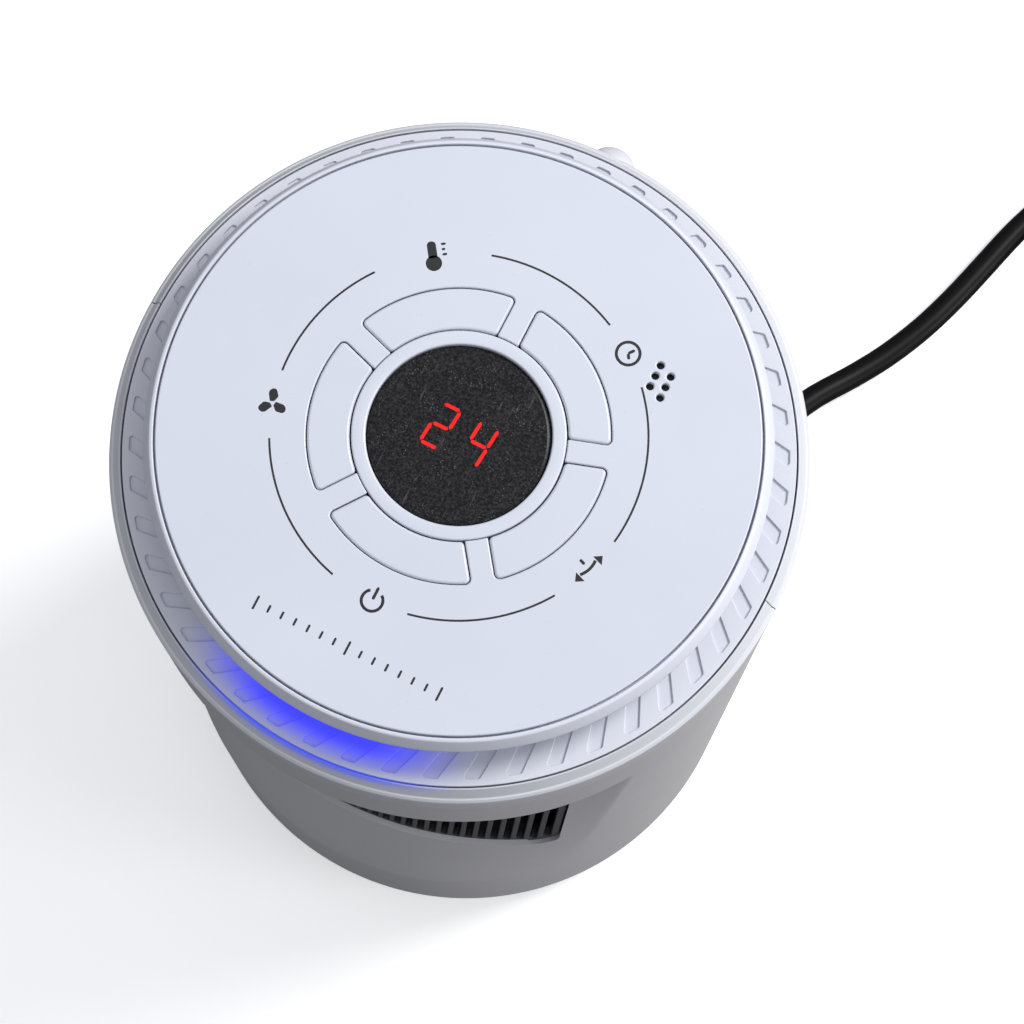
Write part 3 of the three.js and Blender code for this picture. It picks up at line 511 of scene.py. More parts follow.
def key_outline(middle):
    outer, inner, wide, narrow = key_corners(0)
    corners = [(*around(middle - wide, outer), 1.3)]
    corners += arc(middle, outer, -wide + 2.2, wide - 2.2, 22)
    corners += [(*around(middle + wide, outer), 1.3), (*around(middle + narrow, inner), 1.1)]
    corners += arc(middle, inner, narrow - 2.6, -narrow + 2.6, 16)
    corners += [(*around(middle - narrow, inner), 1.1)]
    return rounded(corners, 6)


def opening_outline():
    """One opening for the readout and all five keys, with the spokes left standing between."""
    centre_r = BEZEL_R + BEZEL_GAP
    outer, _, wide, _ = key_corners(KEY_GAP)
    end = HALF_PITCH - math.degrees(math.asin((SPOKE / 2 - KEY_GAP) / centre_r))
    corners = []
    for middle in KEY_ANGLES:
        corners += [(*around(middle - end, centre_r), 0.35), (*around(middle - wide, outer), 1.6)]
        corners += arc(middle, outer, -wide + 2.6, wide - 2.6, 22)
        corners += [(*around(middle + wide, outer), 1.6), (*around(middle + end, centre_r), 0.35)]
        corners += arc(middle + HALF_PITCH, centre_r, end + 1.5 - HALF_PITCH, HALF_PITCH - end - 1.5, 4)
    return rounded(corners, 6)


# %% Disc, keys and sound holes
SOUND_HOLE_R = 0.95
SOUND_AT = (36.8, 33.1)
SOUND_PITCH = 2.87
SOUND_ROWS = 3.35


def sound_holes():
    holes = []
    for side in (-0.5, 0.5):
        for step in (-1, 0, 1):
            x = SOUND_AT[0] + side * SOUND_ROWS
            y = SOUND_AT[1] + (step - side / 2) * SOUND_PITCH
            holes.append(circle(SOUND_HOLE_R, (x, y), 32))
    return holes


disc = plate("control_disc", [circle(PANEL_R, steps=360), opening_outline(), *sound_holes()],
             PANEL_BOTTOM, PANEL_TOP, 0.38, fine=4)
keys = {}
for name, angle in zip(KEYS, KEY_ANGLES):
    keys[name] = plate(name + "_cap", [key_outline(angle)], PANEL_TOP - KEY_DEPTH, PANEL_TOP, 0.7, 6)
print("disc and", len(keys), "keys")

# %% [markdown]
# ## Readout
# A ring frames a sunk window of dark, smoked plastic. The two red digits are bars of light under
# it. Each bar is a six-sided sliver, and the whole pair leans a little, as such displays do.

# %% Ring, window and digits
bezel_bottom = low("display_bezel").z
BEZEL_INNER_R = 22.1
bezel = turned("display_ring", [
    (BEZEL_INNER_R, bezel_bottom, 0.2), (BEZEL_R, bezel_bottom, 0.2),
    (BEZEL_R, PANEL_TOP, 0.45), (BEZEL_INNER_R, PANEL_TOP, 0.55)], steps=240)
window = turned("display_window", [(0, LENS_BOTTOM, 0), (LENS_R, LENS_BOTTOM, 0.2),
                                   (LENS_R, LENS_TOP - 0.35, 0.25), (LENS_R - 0.9, LENS_TOP, 0.5),
                                   (0, LENS_TOP, 0)], steps=200)
DIGIT_LEAN = math.tan(math.radians(5))
SEGMENTS = {"2": "abged", "4": "fgbc"}
BAR = 0.85
BAR_GAP = 0.2
DIGIT_WIDTH = 4.5
DIGIT_HEIGHT = 10.6
DIGIT_LEFTS = {"2": -7.2, "4": 2.9}


def bar(x0, y0, x1, y1):
    """A lit bar between two points, with pointed ends."""
    along = Vector((x1 - x0, y1 - y0)).normalized()
    side = Vector((-along.y, along.x)) * BAR / 2
    first = Vector((x0, y0)) + along * BAR_GAP
    last = Vector((x1, y1)) - along * BAR_GAP
    tip = along * BAR / 2
    corners = [first, first + tip + side, last - tip + side,
               last, last - tip - side, first + tip - side]
    return [(p.x + p.y * DIGIT_LEAN, p.y) for p in corners]


def digit(figure, left):
    right, top, bottom = left + DIGIT_WIDTH, DIGIT_HEIGHT / 2, -DIGIT_HEIGHT / 2
    strokes = {
        "a": (left, top, right, top), "b": (right, 0, right, top), "c": (right, bottom, right, 0),
        "d": (left, bottom, right, bottom), "e": (left, bottom, left, 0), "f": (left, 0, left, top),
        "g": (left, 0, right, 0),
    }
    return [bar(*strokes[s]) for s in SEGMENTS[figure]]


bars = [shape for figure, left in DIGIT_LEFTS.items() for shape in digit(figure, left)]
lit = [plate(f"bar_{k}", [shape], LENS_TOP - 0.04, LENS_TOP + 0.05, 0.01, 0)
       for k, shape in enumerate(bars)]
digits = joined("lit_digits", lit)
print("readout with", len(bars), "bars")

# %% [markdown]
# ## Printed marks
# Grey ink links the keys with a broken circle, and a small sign stands beside each key. Words
# would tie the part to one maker, so the signs are pictures: a power sign, a swinging arrow, a
# clock, a thermometer and a fan. The ink is a film on the disc, a few hundredths thick.

# %% Ink
INK_R = 44.8
STROKE = 0.5
SIGN_SIZE = 1.45
ARCS = [(81.3, 131.7), (11.3, 56.9), (-62, -14.3), (-126.4, -83.6), (-206.5, -163.1)]
TICK_COUNT = 15
TICK_ROW_HALF = 24
TICK_ROW_Y = -57.4
TICK_TALL = 3.6
TICK_SHORT = 2.0


def ink(name, outlines):
    return plate(name, outlines, PANEL_TOP - 0.03, PANEL_TOP + 0.02, 0.005, 0)


def ring_piece(radius, first, last, centre=(0, 0), steps=40):
    """A printed arc, by angles in degrees from the front, positive towards +X."""
    outer = [around(a, radius + STROKE / 2) for a in spread(first, last, steps)]
    inner = [around(a, radius - STROKE / 2) for a in spread(last, first, steps)]
    return [(x + centre[0], y + centre[1]) for x, y in outer + inner]


def stroke(x0, y0, x1, y1, width=STROKE):
    along = Vector((x1 - x0, y1 - y0)).normalized()
    side = Vector((-along.y, along.x)) * width / 2
    a, b = Vector((x0, y0)), Vector((x1, y1))
    return rounded([(*corner, width / 2.1) for corner in (a + side, b + side, b - side, a - side)], 3)


def moved(outline, turn, x=0, y=0, size=1):
    """A flat outline made larger, turned by an angle in radians, and shifted."""
    return [(x + a * size * math.cos(turn) - b * size * math.sin(turn),
             y + a * size * math.sin(turn) + b * size * math.cos(turn)) for a, b in outline]


# %% Signs
# Each sign is a list of shapes, and a shape is one outline, or two when the inner one is a hole.


def power_sign():
    return [[ring_piece(1.75, -145, 145)], [stroke(0, 0.2, 0, 2.4)]]


def clock_sign():
    rim = [circle(2.2, steps=48), circle(2.2 - STROKE, steps=48)]
    return [[stroke(0, 0, 0, 1.25)], [stroke(0, 0, 0.95, -0.35)], rim]


def swing_sign():
    heads = [[[(side * 3.1, 0.2), (side * 1.9, 1.2), (side * 1.9, -0.8)]] for side in (-1, 1)]
    return [[ring_piece(4.2, -24, 24, (0, 4.3))], *heads, [stroke(0, 1.2, 0, 2.3)]]


def heat_sign():
    stem = rounded([(-0.75, -0.6, 0.2), (-0.75, 2.3, 0.7), (0.75, 2.3, 0.7), (0.75, -0.6, 0.2)])
    degrees = [[stroke(1.6, y, end, y, 0.4)] for y, end in ((1.6, 2.4), (0.7, 2.2), (-0.2, 2.4))]
    return [[stem], [circle(1.35, (0, -1.5), 36)], *degrees]


def fan_sign():
    blade = rounded([(0.35, 0.2, 0.1), (1.3, 0.7, 0.5), (1.5, 2.3, 0.6), (0.1, 2.3, 0.8),
                     (-0.3, 0.5, 0.1)])
    return [[moved(blade, math.radians(120 * k))] for k in range(3)]


def placed_sign(outlines, angle):
    """Moves a shape to its key, its foot towards the middle of the disc."""
    x, y = around(angle, INK_R)
    turn = math.radians(angle if abs(angle) < 100 else angle + 180)
    return [moved(outline, turn, x, y, SIGN_SIZE) for outline in outlines]


SIGNS = {0: power_sign, 70: swing_sign, 143: clock_sign, -145: heat_sign, -73: fan_sign}
prints = [ink("arc", [ring_piece(INK_R, first, last, steps=80)]) for first, last in ARCS]
for angle, sign in SIGNS.items():
    prints += [ink("sign", placed_sign(outlines, angle)) for outlines in sign()]
for k in range(TICK_COUNT):
    x = -TICK_ROW_HALF + 2 * TICK_ROW_HALF * k / (TICK_COUNT - 1)
    half = (TICK_TALL if k % 7 == 0 else TICK_SHORT) / 2
    prints.append(ink("tick", [stroke(x, TICK_ROW_Y - half, x, TICK_ROW_Y + half, 0.55)]))
marks = joined("printed_marks", prints)
print("marks:", len(marks.data.polygons), "faces")

# %% [markdown]
# ## Cap, lamp ring and collar
# The cap's rim is one turned outline with a soft shoulder. Around it lies the lamp ring, a frosted
# plate with fifty slanted pockets. They are shallow and glow from below, so they are real pockets
# with rounded corners. The collar is in two halves, as it is moulded, with a crease under its lip.

# %% Cap
SKIRT_INNER_R = 60.8
SKIRT_R = 63.6
SEAT_INNER_R = 68.35
SEAT_R = 72.35
SEAT_Z = 276.7
cap = turned("cap_rim", [
    (SKIRT_INNER_R, CAP_BOTTOM, 0.3), (SKIRT_R, CAP_BOTTOM, 0.3), (SKIRT_R, 270, 1.0),
    (73.0, 273, 1.2), (CAP_R, 274.3, 0.5), (CAP_R, 275.5, 0.7), (73.3, 278.75, 0.8),
    (SEAT_R, PANEL_TOP, 0.25), (SEAT_R, SEAT_Z, 0.15), (SEAT_INNER_R, SEAT_Z, 0.3),
    (SEAT_INNER_R, 274.3, 0.3), (SKIRT_INNER_R, 268.7, 0.4)], steps=300)

# %% Lamp ring
SLOT_COUNT = 50
SLOT_SLANT = math.radians(35)
SLOT_WIDTH = 3.4
SLOT_OUTER_R = 79.8
SLOT_INNER_R = 68.5
POCKET = 0.8
RING_INNER_R = 66.0


def slot_outline(angle):
    """A slanted slot whose ends follow the ring."""
    corners = []
    half = SLOT_WIDTH / 2 / math.cos(SLOT_SLANT)
    lean = (SLOT_OUTER_R - SLOT_INNER_R) * math.tan(SLOT_SLANT)
    ends = ((SLOT_INNER_R, lean, (-half, half)), (SLOT_OUTER_R, 0, (half, -half)))
    for radius, shift, sides in ends:
        for side in sides:
            turn = angle + math.degrees((shift + side) / radius)
            corners.append((*around(turn, radius), 0.7))
    return rounded(corners)


ring_face = plate_mesh("ring_face", [circle(RING_R, steps=360), circle(RING_INNER_R, steps=240)]
                       + [slot_outline(360 * k / SLOT_COUNT) for k in range(SLOT_COUNT)],
                       COLLAR_TOP - POCKET, COLLAR_TOP, 0.22, fine=3)
bed_top = COLLAR_TOP - POCKET + 0.15
ring_bed = turned("ring_bed", [
    (RING_INNER_R, COLLAR_TOP - 3, 0.2), (RING_R, COLLAR_TOP - 3, 0.3),
    (RING_R, bed_top, 0), (RING_INNER_R, bed_top, 0)], steps=240)
lamp_ring = joined("lamp_ring", [new_piece("ring_face", ring_face), ring_bed])

# %% Collar halves and the rear dome
CREASE_Z = COLLAR_TOP - 3.2
LEDGE_R = RING_R + 0.42
COLLAR_THICK = 4.6
CREASE_R = 84.0
collar_outline = [
    (COLLAR_R - COLLAR_THICK, COLLAR_BOTTOM, 0.3), (COLLAR_R, COLLAR_BOTTOM, 0.45),
    (COLLAR_R, CREASE_Z - 0.75, 0.5), (84.45, CREASE_Z - 0.1, 0.25), (CREASE_R, CREASE_Z, 0.25),
    (LEDGE_R + 0.35, COLLAR_TOP, 0.4), (LEDGE_R, COLLAR_TOP, 0.25), (LEDGE_R, COLLAR_TOP - 3.4, 0.3),
    (LEDGE_R - 4, COLLAR_TOP - 3.4, 0.3), (LEDGE_R - 4, COLLAR_TOP - 5.4, 0.3),
    (COLLAR_R - COLLAR_THICK, COLLAR_TOP - 5.4, 0.3)]
SEAM_HALF = 0.1
front_collar = turned("collar_front_half", collar_outline, (-90 + SEAM_HALF, 90 - SEAM_HALF), 180)
rear_collar = turned("collar_rear_half", collar_outline, (90 + SEAM_HALF, 270 - SEAM_HALF), 180)
DOME_R = high("collar_rear").y


def rear_dome():
    mesh = bpy.data.meshes.new("dome")
    bm = bmesh.new()
    bmesh.ops.create_uvsphere(bm, u_segments=64, v_segments=40, radius=1)
    bm.to_mesh(mesh)
    bm.free()
    sunk = 2
    reach = DOME_R - COLLAR_R + sunk
    size = Matrix.Diagonal((6 * MM, reach * MM, 4 * MM, 1))
    middle = Vector((0, COLLAR_R - sunk, COLLAR_BOTTOM + 4.05)) * MM
    mesh.transform(Matrix.Translation(middle) @ size)
    return new_piece("dome", mesh)


rear_collar = joined("collar_rear_half", [rear_collar, rear_dome()])
print("cap, lamp ring with", SLOT_COUNT, "pockets, collar halves")

# %% [markdown]
# ## Tower walls
# The front wall is pressed in, deeper towards the top, to make the scoop that the warm air leaves
# by. It is built as a sheet of points, each with its own depth, because one rule for the depth then
# gives the wall, the rounded side edges and the ledge together. The air window is cut out after.

# %% Front wall
SCOOP_HALF = 57.4
SCOOP_BOTTOM = 64.0
SCOOP_TOP = 221.0
SCOOP_DEPTH = 22.0
SCOOP_TAPER = 9.0
WINDOW_BOTTOM = 121.5
WINDOW_TOP = 219.0
side_x, side_y = around(SCOOP_HALF, BODY_R)
scoop_rise = BODY_R - SCOOP_DEPTH + side_y
SCOOP_R = (side_x ** 2 + scoop_rise ** 2) / (2 * scoop_rise)
SCOOP_Y = SCOOP_R - (BODY_R - SCOOP_DEPTH)
WINDOW_SIDE_INSET = 12.4
WINDOW_HALF = side_x - WINDOW_SIDE_INSET
SCOOP_EDGE_SOFT = 0.35
LEDGE_ROUND = 0.9


def scoop_depth(angle, z):
    """How far the wall lies behind the round one: an arc across, and a ramp upwards."""
    share = min(1, max(0, (z - SCOOP_BOTTOM) / (SCOOP_TOP - SCOOP_BOTTOM)))
    half = SCOOP_HALF - SCOOP_TAPER * (1 - share)
    if abs(angle) > half:
        return 0.0
    turn = math.radians(angle * SCOOP_HALF / half)
    across = SCOOP_Y * math.cos(turn)
    radius = -across + math.sqrt(across ** 2 - SCOOP_Y ** 2 + SCOOP_R ** 2)
    return (BODY_R - radius) * share


def scoop_y(x, z):
    """Where the scooped wall lies, straight in front of a point across and up."""
    y = -math.sqrt(BODY_R ** 2 - x ** 2)
    for _ in range(5):
        radius = BODY_R - scoop_depth(math.degrees(math.atan2(x, -y)), z)
        y = -math.sqrt(radius ** 2 - x ** 2)
    return y


def soft_depth(angle, z):
    """The scoop with its edges rounded: a depth of nothing turns gently into a ramp."""
    depth = scoop_depth(angle, min(z, SCOOP_TOP))
    soft = SCOOP_EDGE_SOFT
    depth = max(0.0, depth - soft + soft * math.exp(-depth / soft))
    return depth if z <= SCOOP_TOP else 0.0


def front_wall():
    angles = spread(-90 + SEAM_HALF, 90 - SEAM_HALF, 420)
    angles = sorted(set(round(a, 3) for a in angles))
    rows = spread(BODY_BOTTOM, SCOOP_BOTTOM, 12)[:-1] + spread(SCOOP_BOTTOM, SCOOP_TOP - 1, 50)
    inner_rows = [SEAM_Z - 2, SCOOP_TOP + WALL]
    inner_rows += reversed(spread(BODY_BOTTOM, SCOOP_TOP + WALL - 0.5, 40))
    quarter = spread(0, math.pi / 2, 7)
    skin = []
    for a in angles:
        line = [(BODY_R - soft_depth(a, z), z) for z in rows]
        deep = soft_depth(a, SCOOP_TOP)
        edge = min(LEDGE_ROUND, deep / 2.2)
        line += [(BODY_R - deep + edge * (1 - math.cos(t)), SCOOP_TOP - edge + edge * math.sin(t))
                 for t in quarter]
        line += [(BODY_R - edge + edge * math.sin(t), SCOOP_TOP + edge * (1 - math.cos(t)))
                 for t in quarter]
        line += [(BODY_R, z) for z in spread(SCOOP_TOP + 1.2, SEAM_Z - 0.5, 10)]
        line += [(BODY_R - 0.12, SEAM_Z - 0.12), (BODY_R - 0.5, SEAM_Z), (BODY_R - WALL, SEAM_Z)]
        line += [(BODY_R - WALL - soft_depth(a, z - WALL) * (z < SCOOP_TOP + WALL - 0.2), z)
                 for z in inner_rows]
        skin.append([(*around(a, r), z) for r, z in line])
    n = len(skin[0])
    points = [p for line in skin for p in line]
    faces = [(i * n + k, i * n + (k + 1) % n, (i + 1) * n + (k + 1) % n, (i + 1) * n + k)
             for i in range(len(skin) - 1) for k in range(n)]
    faces += [tuple(range(n)), tuple(reversed(range(len(points) - n, len(points))))]
    return new_piece("front_wall", clean_mesh("front_wall", points, faces), WALL_EDGE)


def cut_with(piece, cutter):
    cutting = piece.modifiers.new("window", "BOOLEAN")
    cutting.operation = "DIFFERENCE"
    cutting.object = cutter
    cutting.solver = "EXACT"
    bpy.context.view_layer.update()
    seen = piece.evaluated_get(bpy.context.evaluated_depsgraph_get())
    mesh = bpy.data.meshes.new_from_object(seen)
    piece.modifiers.clear()
    piece.data = mesh
    bpy.data.objects.remove(cutter)
    mesh.set_sharp_from_angle(angle=math.radians(WALL_EDGE))


def window_outline(shrink):
    """The air window seen from straight in front."""
    half = WINDOW_HALF - shrink
    return soft_box(-half, WINDOW_BOTTOM + shrink, half, WINDOW_TOP - shrink, 7, 3, 8)


def front_window_cutter():
    mesh = plate_mesh("cutter", [window_outline(0)], 40, 100, 0.01, 0)
    upright = Matrix(((1, 0, 0, 0), (0, 0, -1, 0), (0, 1, 0, 0), (0, 0, 0, 1)))
    mesh.transform(upright)
    return new_piece("cutter", mesh)


front = front_wall()
cut_with(front, front_window_cutter())
print("front wall", len(front.data.polygons), "faces")

# %% Outlet slats
SLAT_PITCH = 3.3
SLAT_GAP = 1.9


def outlet_grille():
    z0, z1 = WINDOW_BOTTOM + 2.4, WINDOW_TOP - 2.4
    count = int((WINDOW_HALF - 2.0) / SLAT_PITCH)
    slots = []
    for i in range(-count, count + 1):
        x = i * SLAT_PITCH
        low_z = z0 + (2.5 if abs(i) == count else 0)
        slots.append(soft_box(x - SLAT_GAP / 2, low_z, x + SLAT_GAP / 2, z1, 0.9, 0.9, 4))
    mesh = plate_mesh("outlet_slats", [window_outline(0.3), *slots], -3, 0, 0.3, 3)
    sliced(mesh, 1, spread(WINDOW_BOTTOM + 8, WINDOW_TOP - 8, 8))

    def bend(x, z, out):
        lean = math.asin(x / SCOOP_R)
        reach = out - 0.8
        return x + reach * math.sin(lean), scoop_y(x, z) - reach * math.cos(lean), z
    return wrapped("outlet_slats", mesh, bend)


slats = outlet_grille()

# %% Rear wall and intake
INTAKE_HALF = 50.0
INTAKE_BOTTOM = 60.0
INTAKE_TOP = 246.0
INTAKE_GAP = 0.3
INTAKE_ROWS = 2
INTAKE_COLUMNS = 13
COLUMN_ANGLE = 7.2
INTAKE_SLOT_HALF = 2


def bent_round(name, mesh, half, strips):
    """Bends a flat wall about the tower, its middle at the back."""
    sliced(mesh, 0, spread(-half + 1, half - 1, strips))
    return wrapped(name, mesh,
                   lambda x, z, out: (*around(180 + math.degrees(x / BODY_R), BODY_R + out), z))


def rear_wall():
    reach = math.radians(90 - SEAM_HALF) * BODY_R
    opening = math.radians(INTAKE_HALF) * BODY_R
    outline = soft_box(-reach, BODY_BOTTOM, reach, SEAM_Z, 0.3, 0.3)
    hole = soft_box(-opening, INTAKE_BOTTOM, opening, INTAKE_TOP, 6, 2.5, 8)
    mesh = plate_mesh("rear_wall", [outline, hole], -WALL, 0, 0.4, 3)
    return bent_round("rear_wall", mesh, reach, 180)


def intake_grille():
    opening = math.radians(INTAKE_HALF) * BODY_R - 0.35
    outline = soft_box(-opening, INTAKE_BOTTOM + INTAKE_GAP, opening, INTAKE_TOP - INTAKE_GAP,
                       5.7, 2.2, 8)
    slots = []
    row_bottom = INTAKE_BOTTOM + 8
    row_height = (INTAKE_TOP - 8 - row_bottom) / INTAKE_ROWS
    for row in range(INTAKE_ROWS):
        for column in range(INTAKE_COLUMNS):
            x = math.radians((column - INTAKE_COLUMNS // 2) * COLUMN_ANGLE) * BODY_R
            z = row_bottom + row * row_height
            slots.append(soft_box(x - INTAKE_SLOT_HALF, z, x + INTAKE_SLOT_HALF, z + row_height - 5,
                                  1.9, 1.9, 6))
    mesh = plate_mesh("intake_grille", [outline, *slots], -WALL, 0, 0.45, 3)
    return bent_round("intake_grille", mesh, opening, 100)


rear = rear_wall()
intake = intake_grille()
print("slats", len(slats.data.polygons), "rear wall", len(rear.data.polygons),
      "intake", len(intake.data.polygons))

# %% [markdown]
# ## Base
# The tower turns on a low, round base of the same plastic. Its outline has a soft upper edge, and
# the swing bearing's track stands inside it.

# %% Base housing
BASE_TOP = 16
ROOF_BOTTOM = 13.5
TRACK_OUTER_R = 66
TRACK_INNER_R = 60
SPIGOT_R = 16
NECK_R = 14
BORE_R = 11
NECK_Z = 25.8
SPIGOT_TOP = 29


def base_housing():
    track_top = low("glide_ring").z - 0.3
    corners = [
        (BASE_R - WALL, 2, 0.3), (BASE_R, 2, 1.2), (BASE_R, BASE_TOP, 1.4),
        (TRACK_OUTER_R, BASE_TOP, 0.3), (TRACK_OUTER_R, track_top, 0.4),
        (TRACK_INNER_R, track_top, 0.4), (TRACK_INNER_R, BASE_TOP, 0.3),
        (SPIGOT_R, BASE_TOP, 0.3), (SPIGOT_R, NECK_Z, 0.3), (NECK_R, NECK_Z, 0.3),
        (NECK_R, SPIGOT_TOP, 0.5), (BORE_R, SPIGOT_TOP, 0.5), (BORE_R, ROOF_BOTTOM, 0.3),
        (BASE_R - WALL, ROOF_BOTTOM, 0.5)]
    return turned("base_shell", corners, steps=240)


base_shell = base_housing()
print("base", len(base_shell.data.polygons), "faces")

# %% [markdown]
# ## Finishes
# Every finish is a small recipe of nodes. A maker looks at three things: what colour the material
# is under soft light, how sharply it mirrors, and what breaks its surface up close. Moulded
# plastic has a skin as fine as an orange's, specks of dust and a slight drift in its gloss. Shared
# effects are written once as node groups, and each material sets its own constants on its own
# shader.

# %% Node helpers


def feed(tree, node, values):
    """Gives a node its inputs: a socket is linked, and a constant is set on the node's own socket."""
    for key, value in values.items():
        if isinstance(value, bpy.types.NodeSocket):
            tree.links.new(value, node.inputs[key])
        else:
            node.inputs[key].default_value = value
    return node


def add_node(tree, kind, values=(), **settings):
    node = tree.nodes.new(kind)
    for key, value in settings.items():
        setattr(node, key, value)
    return feed(tree, node, dict(values))


def calc(tree, operation, a, b=0.0):
    return add_node(tree, "ShaderNodeMath", {0: a, 1: b}, operation=operation).outputs[0]


def mix(tree, share, a, b):
    """A blend of two colours, each a socket or plain red, green and blue."""
    a, b = [end if isinstance(end, bpy.types.NodeSocket) else (*end, 1) for end in (a, b)]
    return add_node(tree, "ShaderNodeMix", {0: share, 6: a, 7: b}, data_type="RGBA").outputs[2]


def graded(tree, value, low_in, high_in, low_out=0.0, high_out=1.0):
    return add_node(tree, "ShaderNodeMapRange",
                    {0: value, 1: low_in, 2: high_in, 3: low_out, 4: high_out}, clamp=True).outputs[0]


def noise(tree, where, scale, detail=4.0, rough=0.5):
    return add_node(tree, "ShaderNodeTexNoise",
                    {"Vector": where, "Scale": scale, "Detail": detail, "Roughness": rough}).outputs["Fac"]


def bumped(tree, height, strength, distance):
    """The normal of a surface that a height map raises; distance is in metres."""
    return add_node(tree, "ShaderNodeBump",
                    {"Height": height, "Strength": strength, "Distance": distance}).outputs[0]


def place(tree):
    return add_node(tree, "ShaderNodeTexCoord").outputs["Object"]


def new_group(name, outputs, inputs):
    """A node group whose sockets are plain numbers; inputs maps each name to its starting value."""
    group = bpy.data.node_groups.new(name, "ShaderNodeTree")
    number = "NodeSocketFloat"
    for socket, start in inputs.items():
        group.interface.new_socket(socket, in_out="INPUT", socket_type=number).default_value = start
    for socket in outputs:
        group.interface.new_socket(socket, in_out="OUTPUT", socket_type=number)
    return group, group.nodes.new("NodeGroupInput"), group.nodes.new("NodeGroupOutput")


def use_group(tree, group, values):
    return add_node(tree, "ShaderNodeGroup", values, node_tree=group)


def new_material(name):
    material = bpy.data.materials.new(name)
    material.use_nodes = True
    tree = material.node_tree
    return material, tree, tree.nodes["Principled BSDF"]


# %% Skin of moulded plastic: grain, gloss drift and dust


def plastic_skin():
    group, given, result = new_group("plastic_skin", ["Height", "Drift", "Dust"], {"Grain": 900.0})
    where = place(group)
    grain = noise(group, where, given.outputs["Grain"], 2.0)
    swell = noise(group, where, 22, 3.0)
    specks = add_node(group, "ShaderNodeTexVoronoi", {"Vector": where, "Scale": 420.0})
    chosen = graded(group, noise(group, where, 60, 3.0, 0.7), 0.56, 0.66)
    dot = graded(group, specks.outputs["Distance"], 0.16, 0.08)
    height = calc(group, "ADD", calc(group, "MULTIPLY", grain, 0.5), calc(group, "MULTIPLY", swell, 2.0))
    feed(group, result, {"Height": height, "Drift": noise(group, where, 9, 4.0, 0.6),
                         "Dust": calc(group, "MULTIPLY", dot, chosen)})
    return group


SKIN = plastic_skin()


# This mask also places painted blue light on the collar and painted dark blue shade in base colours.
def lamp_glow():
    """A mask that is 1 over the lamps under the front of the ring and fades to 0 around them."""
    group, given, result = new_group("lamp_glow", ["Mask"],
                                     {"Half Angle": 21.0, "Near": 74.0, "Far": 81.0})
    full_angle = 6.0
    spot = add_node(group, "ShaderNodeSeparateXYZ", {0: place(group)})
    x, y = spot.outputs["X"], spot.outputs["Y"]
    angle = calc(group, "ABSOLUTE", calc(group, "ARCTAN2", x, calc(group, "MULTIPLY", y, -1.0)))
    degrees = calc(group, "MULTIPLY", angle, 180 / math.pi)
    across = add_node(group, "ShaderNodeMapRange",
                      {0: degrees, 1: full_angle, 2: given.outputs["Half Angle"], 3: 1.0, 4: 0.0},
                      interpolation_type="SMOOTHERSTEP")
    squares = calc(group, "ADD", calc(group, "POWER", x, 2.0), calc(group, "POWER", y, 2.0))
    radius = calc(group, "MULTIPLY", calc(group, "POWER", squares, 0.5), 1000.0)
    outward = add_node(group, "ShaderNodeMapRange",
                       {0: radius, 1: given.outputs["Near"], 2: given.outputs["Far"], 3: 1.0, 4: 0.0},
                       interpolation_type="SMOOTHSTEP")
    feed(group, result, {"Mask": calc(group, "MULTIPLY", across.outputs[0], outward.outputs[0])})
    return group


GLOW = lamp_glow()
print("groups", SKIN.name, GLOW.name)

# %% Plastics
PALE_DUST = (0.32, 0.31, 0.3)
DARK_DUST = (0.12, 0.12, 0.115)


def moulded(name, colour, roughness, grain, bump, dust, deep=None, coat=0.0, glow=None):
    """Moulded plastic: its colour drifts a little, dust lies on it, and its skin is finely grained."""
    material, tree, shader = new_material(name)
    skin = use_group(tree, SKIN, {"Grain": grain})
    drift = skin.outputs["Drift"]
    tone = mix(tree, graded(tree, drift, 0.35, 0.68), colour, deep or tuple(c * 0.94 for c in colour))
    speck = calc(tree, "MULTIPLY", skin.outputs["Dust"], dust)
    toned = mix(tree, speck, tone, PALE_DUST if colour[0] > 0.3 else DARK_DUST)
    if glow:
        half, near, far, light = glow
        mask = use_group(tree, GLOW, {"Half Angle": half, "Near": near, "Far": far}).outputs["Mask"]
        # Under the lamp mask the base colour is painted dark blue: painted blue light, with painted shade
        # from the cap's overhang.
        toned = mix(tree, mask, toned, tuple(c * 0.5 for c in light))
        # On the lamp ring this emission stands for the lamps below; on the collar, which is no lamp, it is
        # painted blue light.
        feed(tree, shader, {"Emission Color": mix(tree, mask, (0, 0, 0), light),
                            "Emission Strength": 1.0})
    feed(tree, shader, {
        "Base Color": toned, "IOR": 1.49, "Coat Weight": coat, "Coat Roughness": 0.12,
        "Roughness": graded(tree, drift, 0.3, 0.7, roughness - 0.05, roughness + 0.07),
        "Normal": bumped(tree, skin.outputs["Height"], bump, 0.00006)})
    return material


disc_white = moulded("polished_white", (0.62, 0.645, 0.735), 0.34, 1500, 0.05, 0.12, coat=0.25)
key_white = moulded("key_white", (0.615, 0.64, 0.73), 0.36, 1500, 0.05, 0.1, coat=0.2)
shell_white = moulded("shell_white", (0.575, 0.57, 0.59), 0.46, 1000, 0.14, 0.3)
# The collar's blue glow is painted light from the lamp ring on its lip: emission over a painted darker blue
# base colour.
collar_white = moulded("collar_white", (0.62, 0.63, 0.68), 0.42, 1000, 0.1, 0.22,
                       glow=(30, 81.9, 83.6, (0.06, 0.09, 0.62)))
rim_white = moulded("cap_rim_white", (0.64, 0.66, 0.74), 0.4, 1200, 0.06, 0.15,
                    deep=(0.66, 0.68, 0.76))
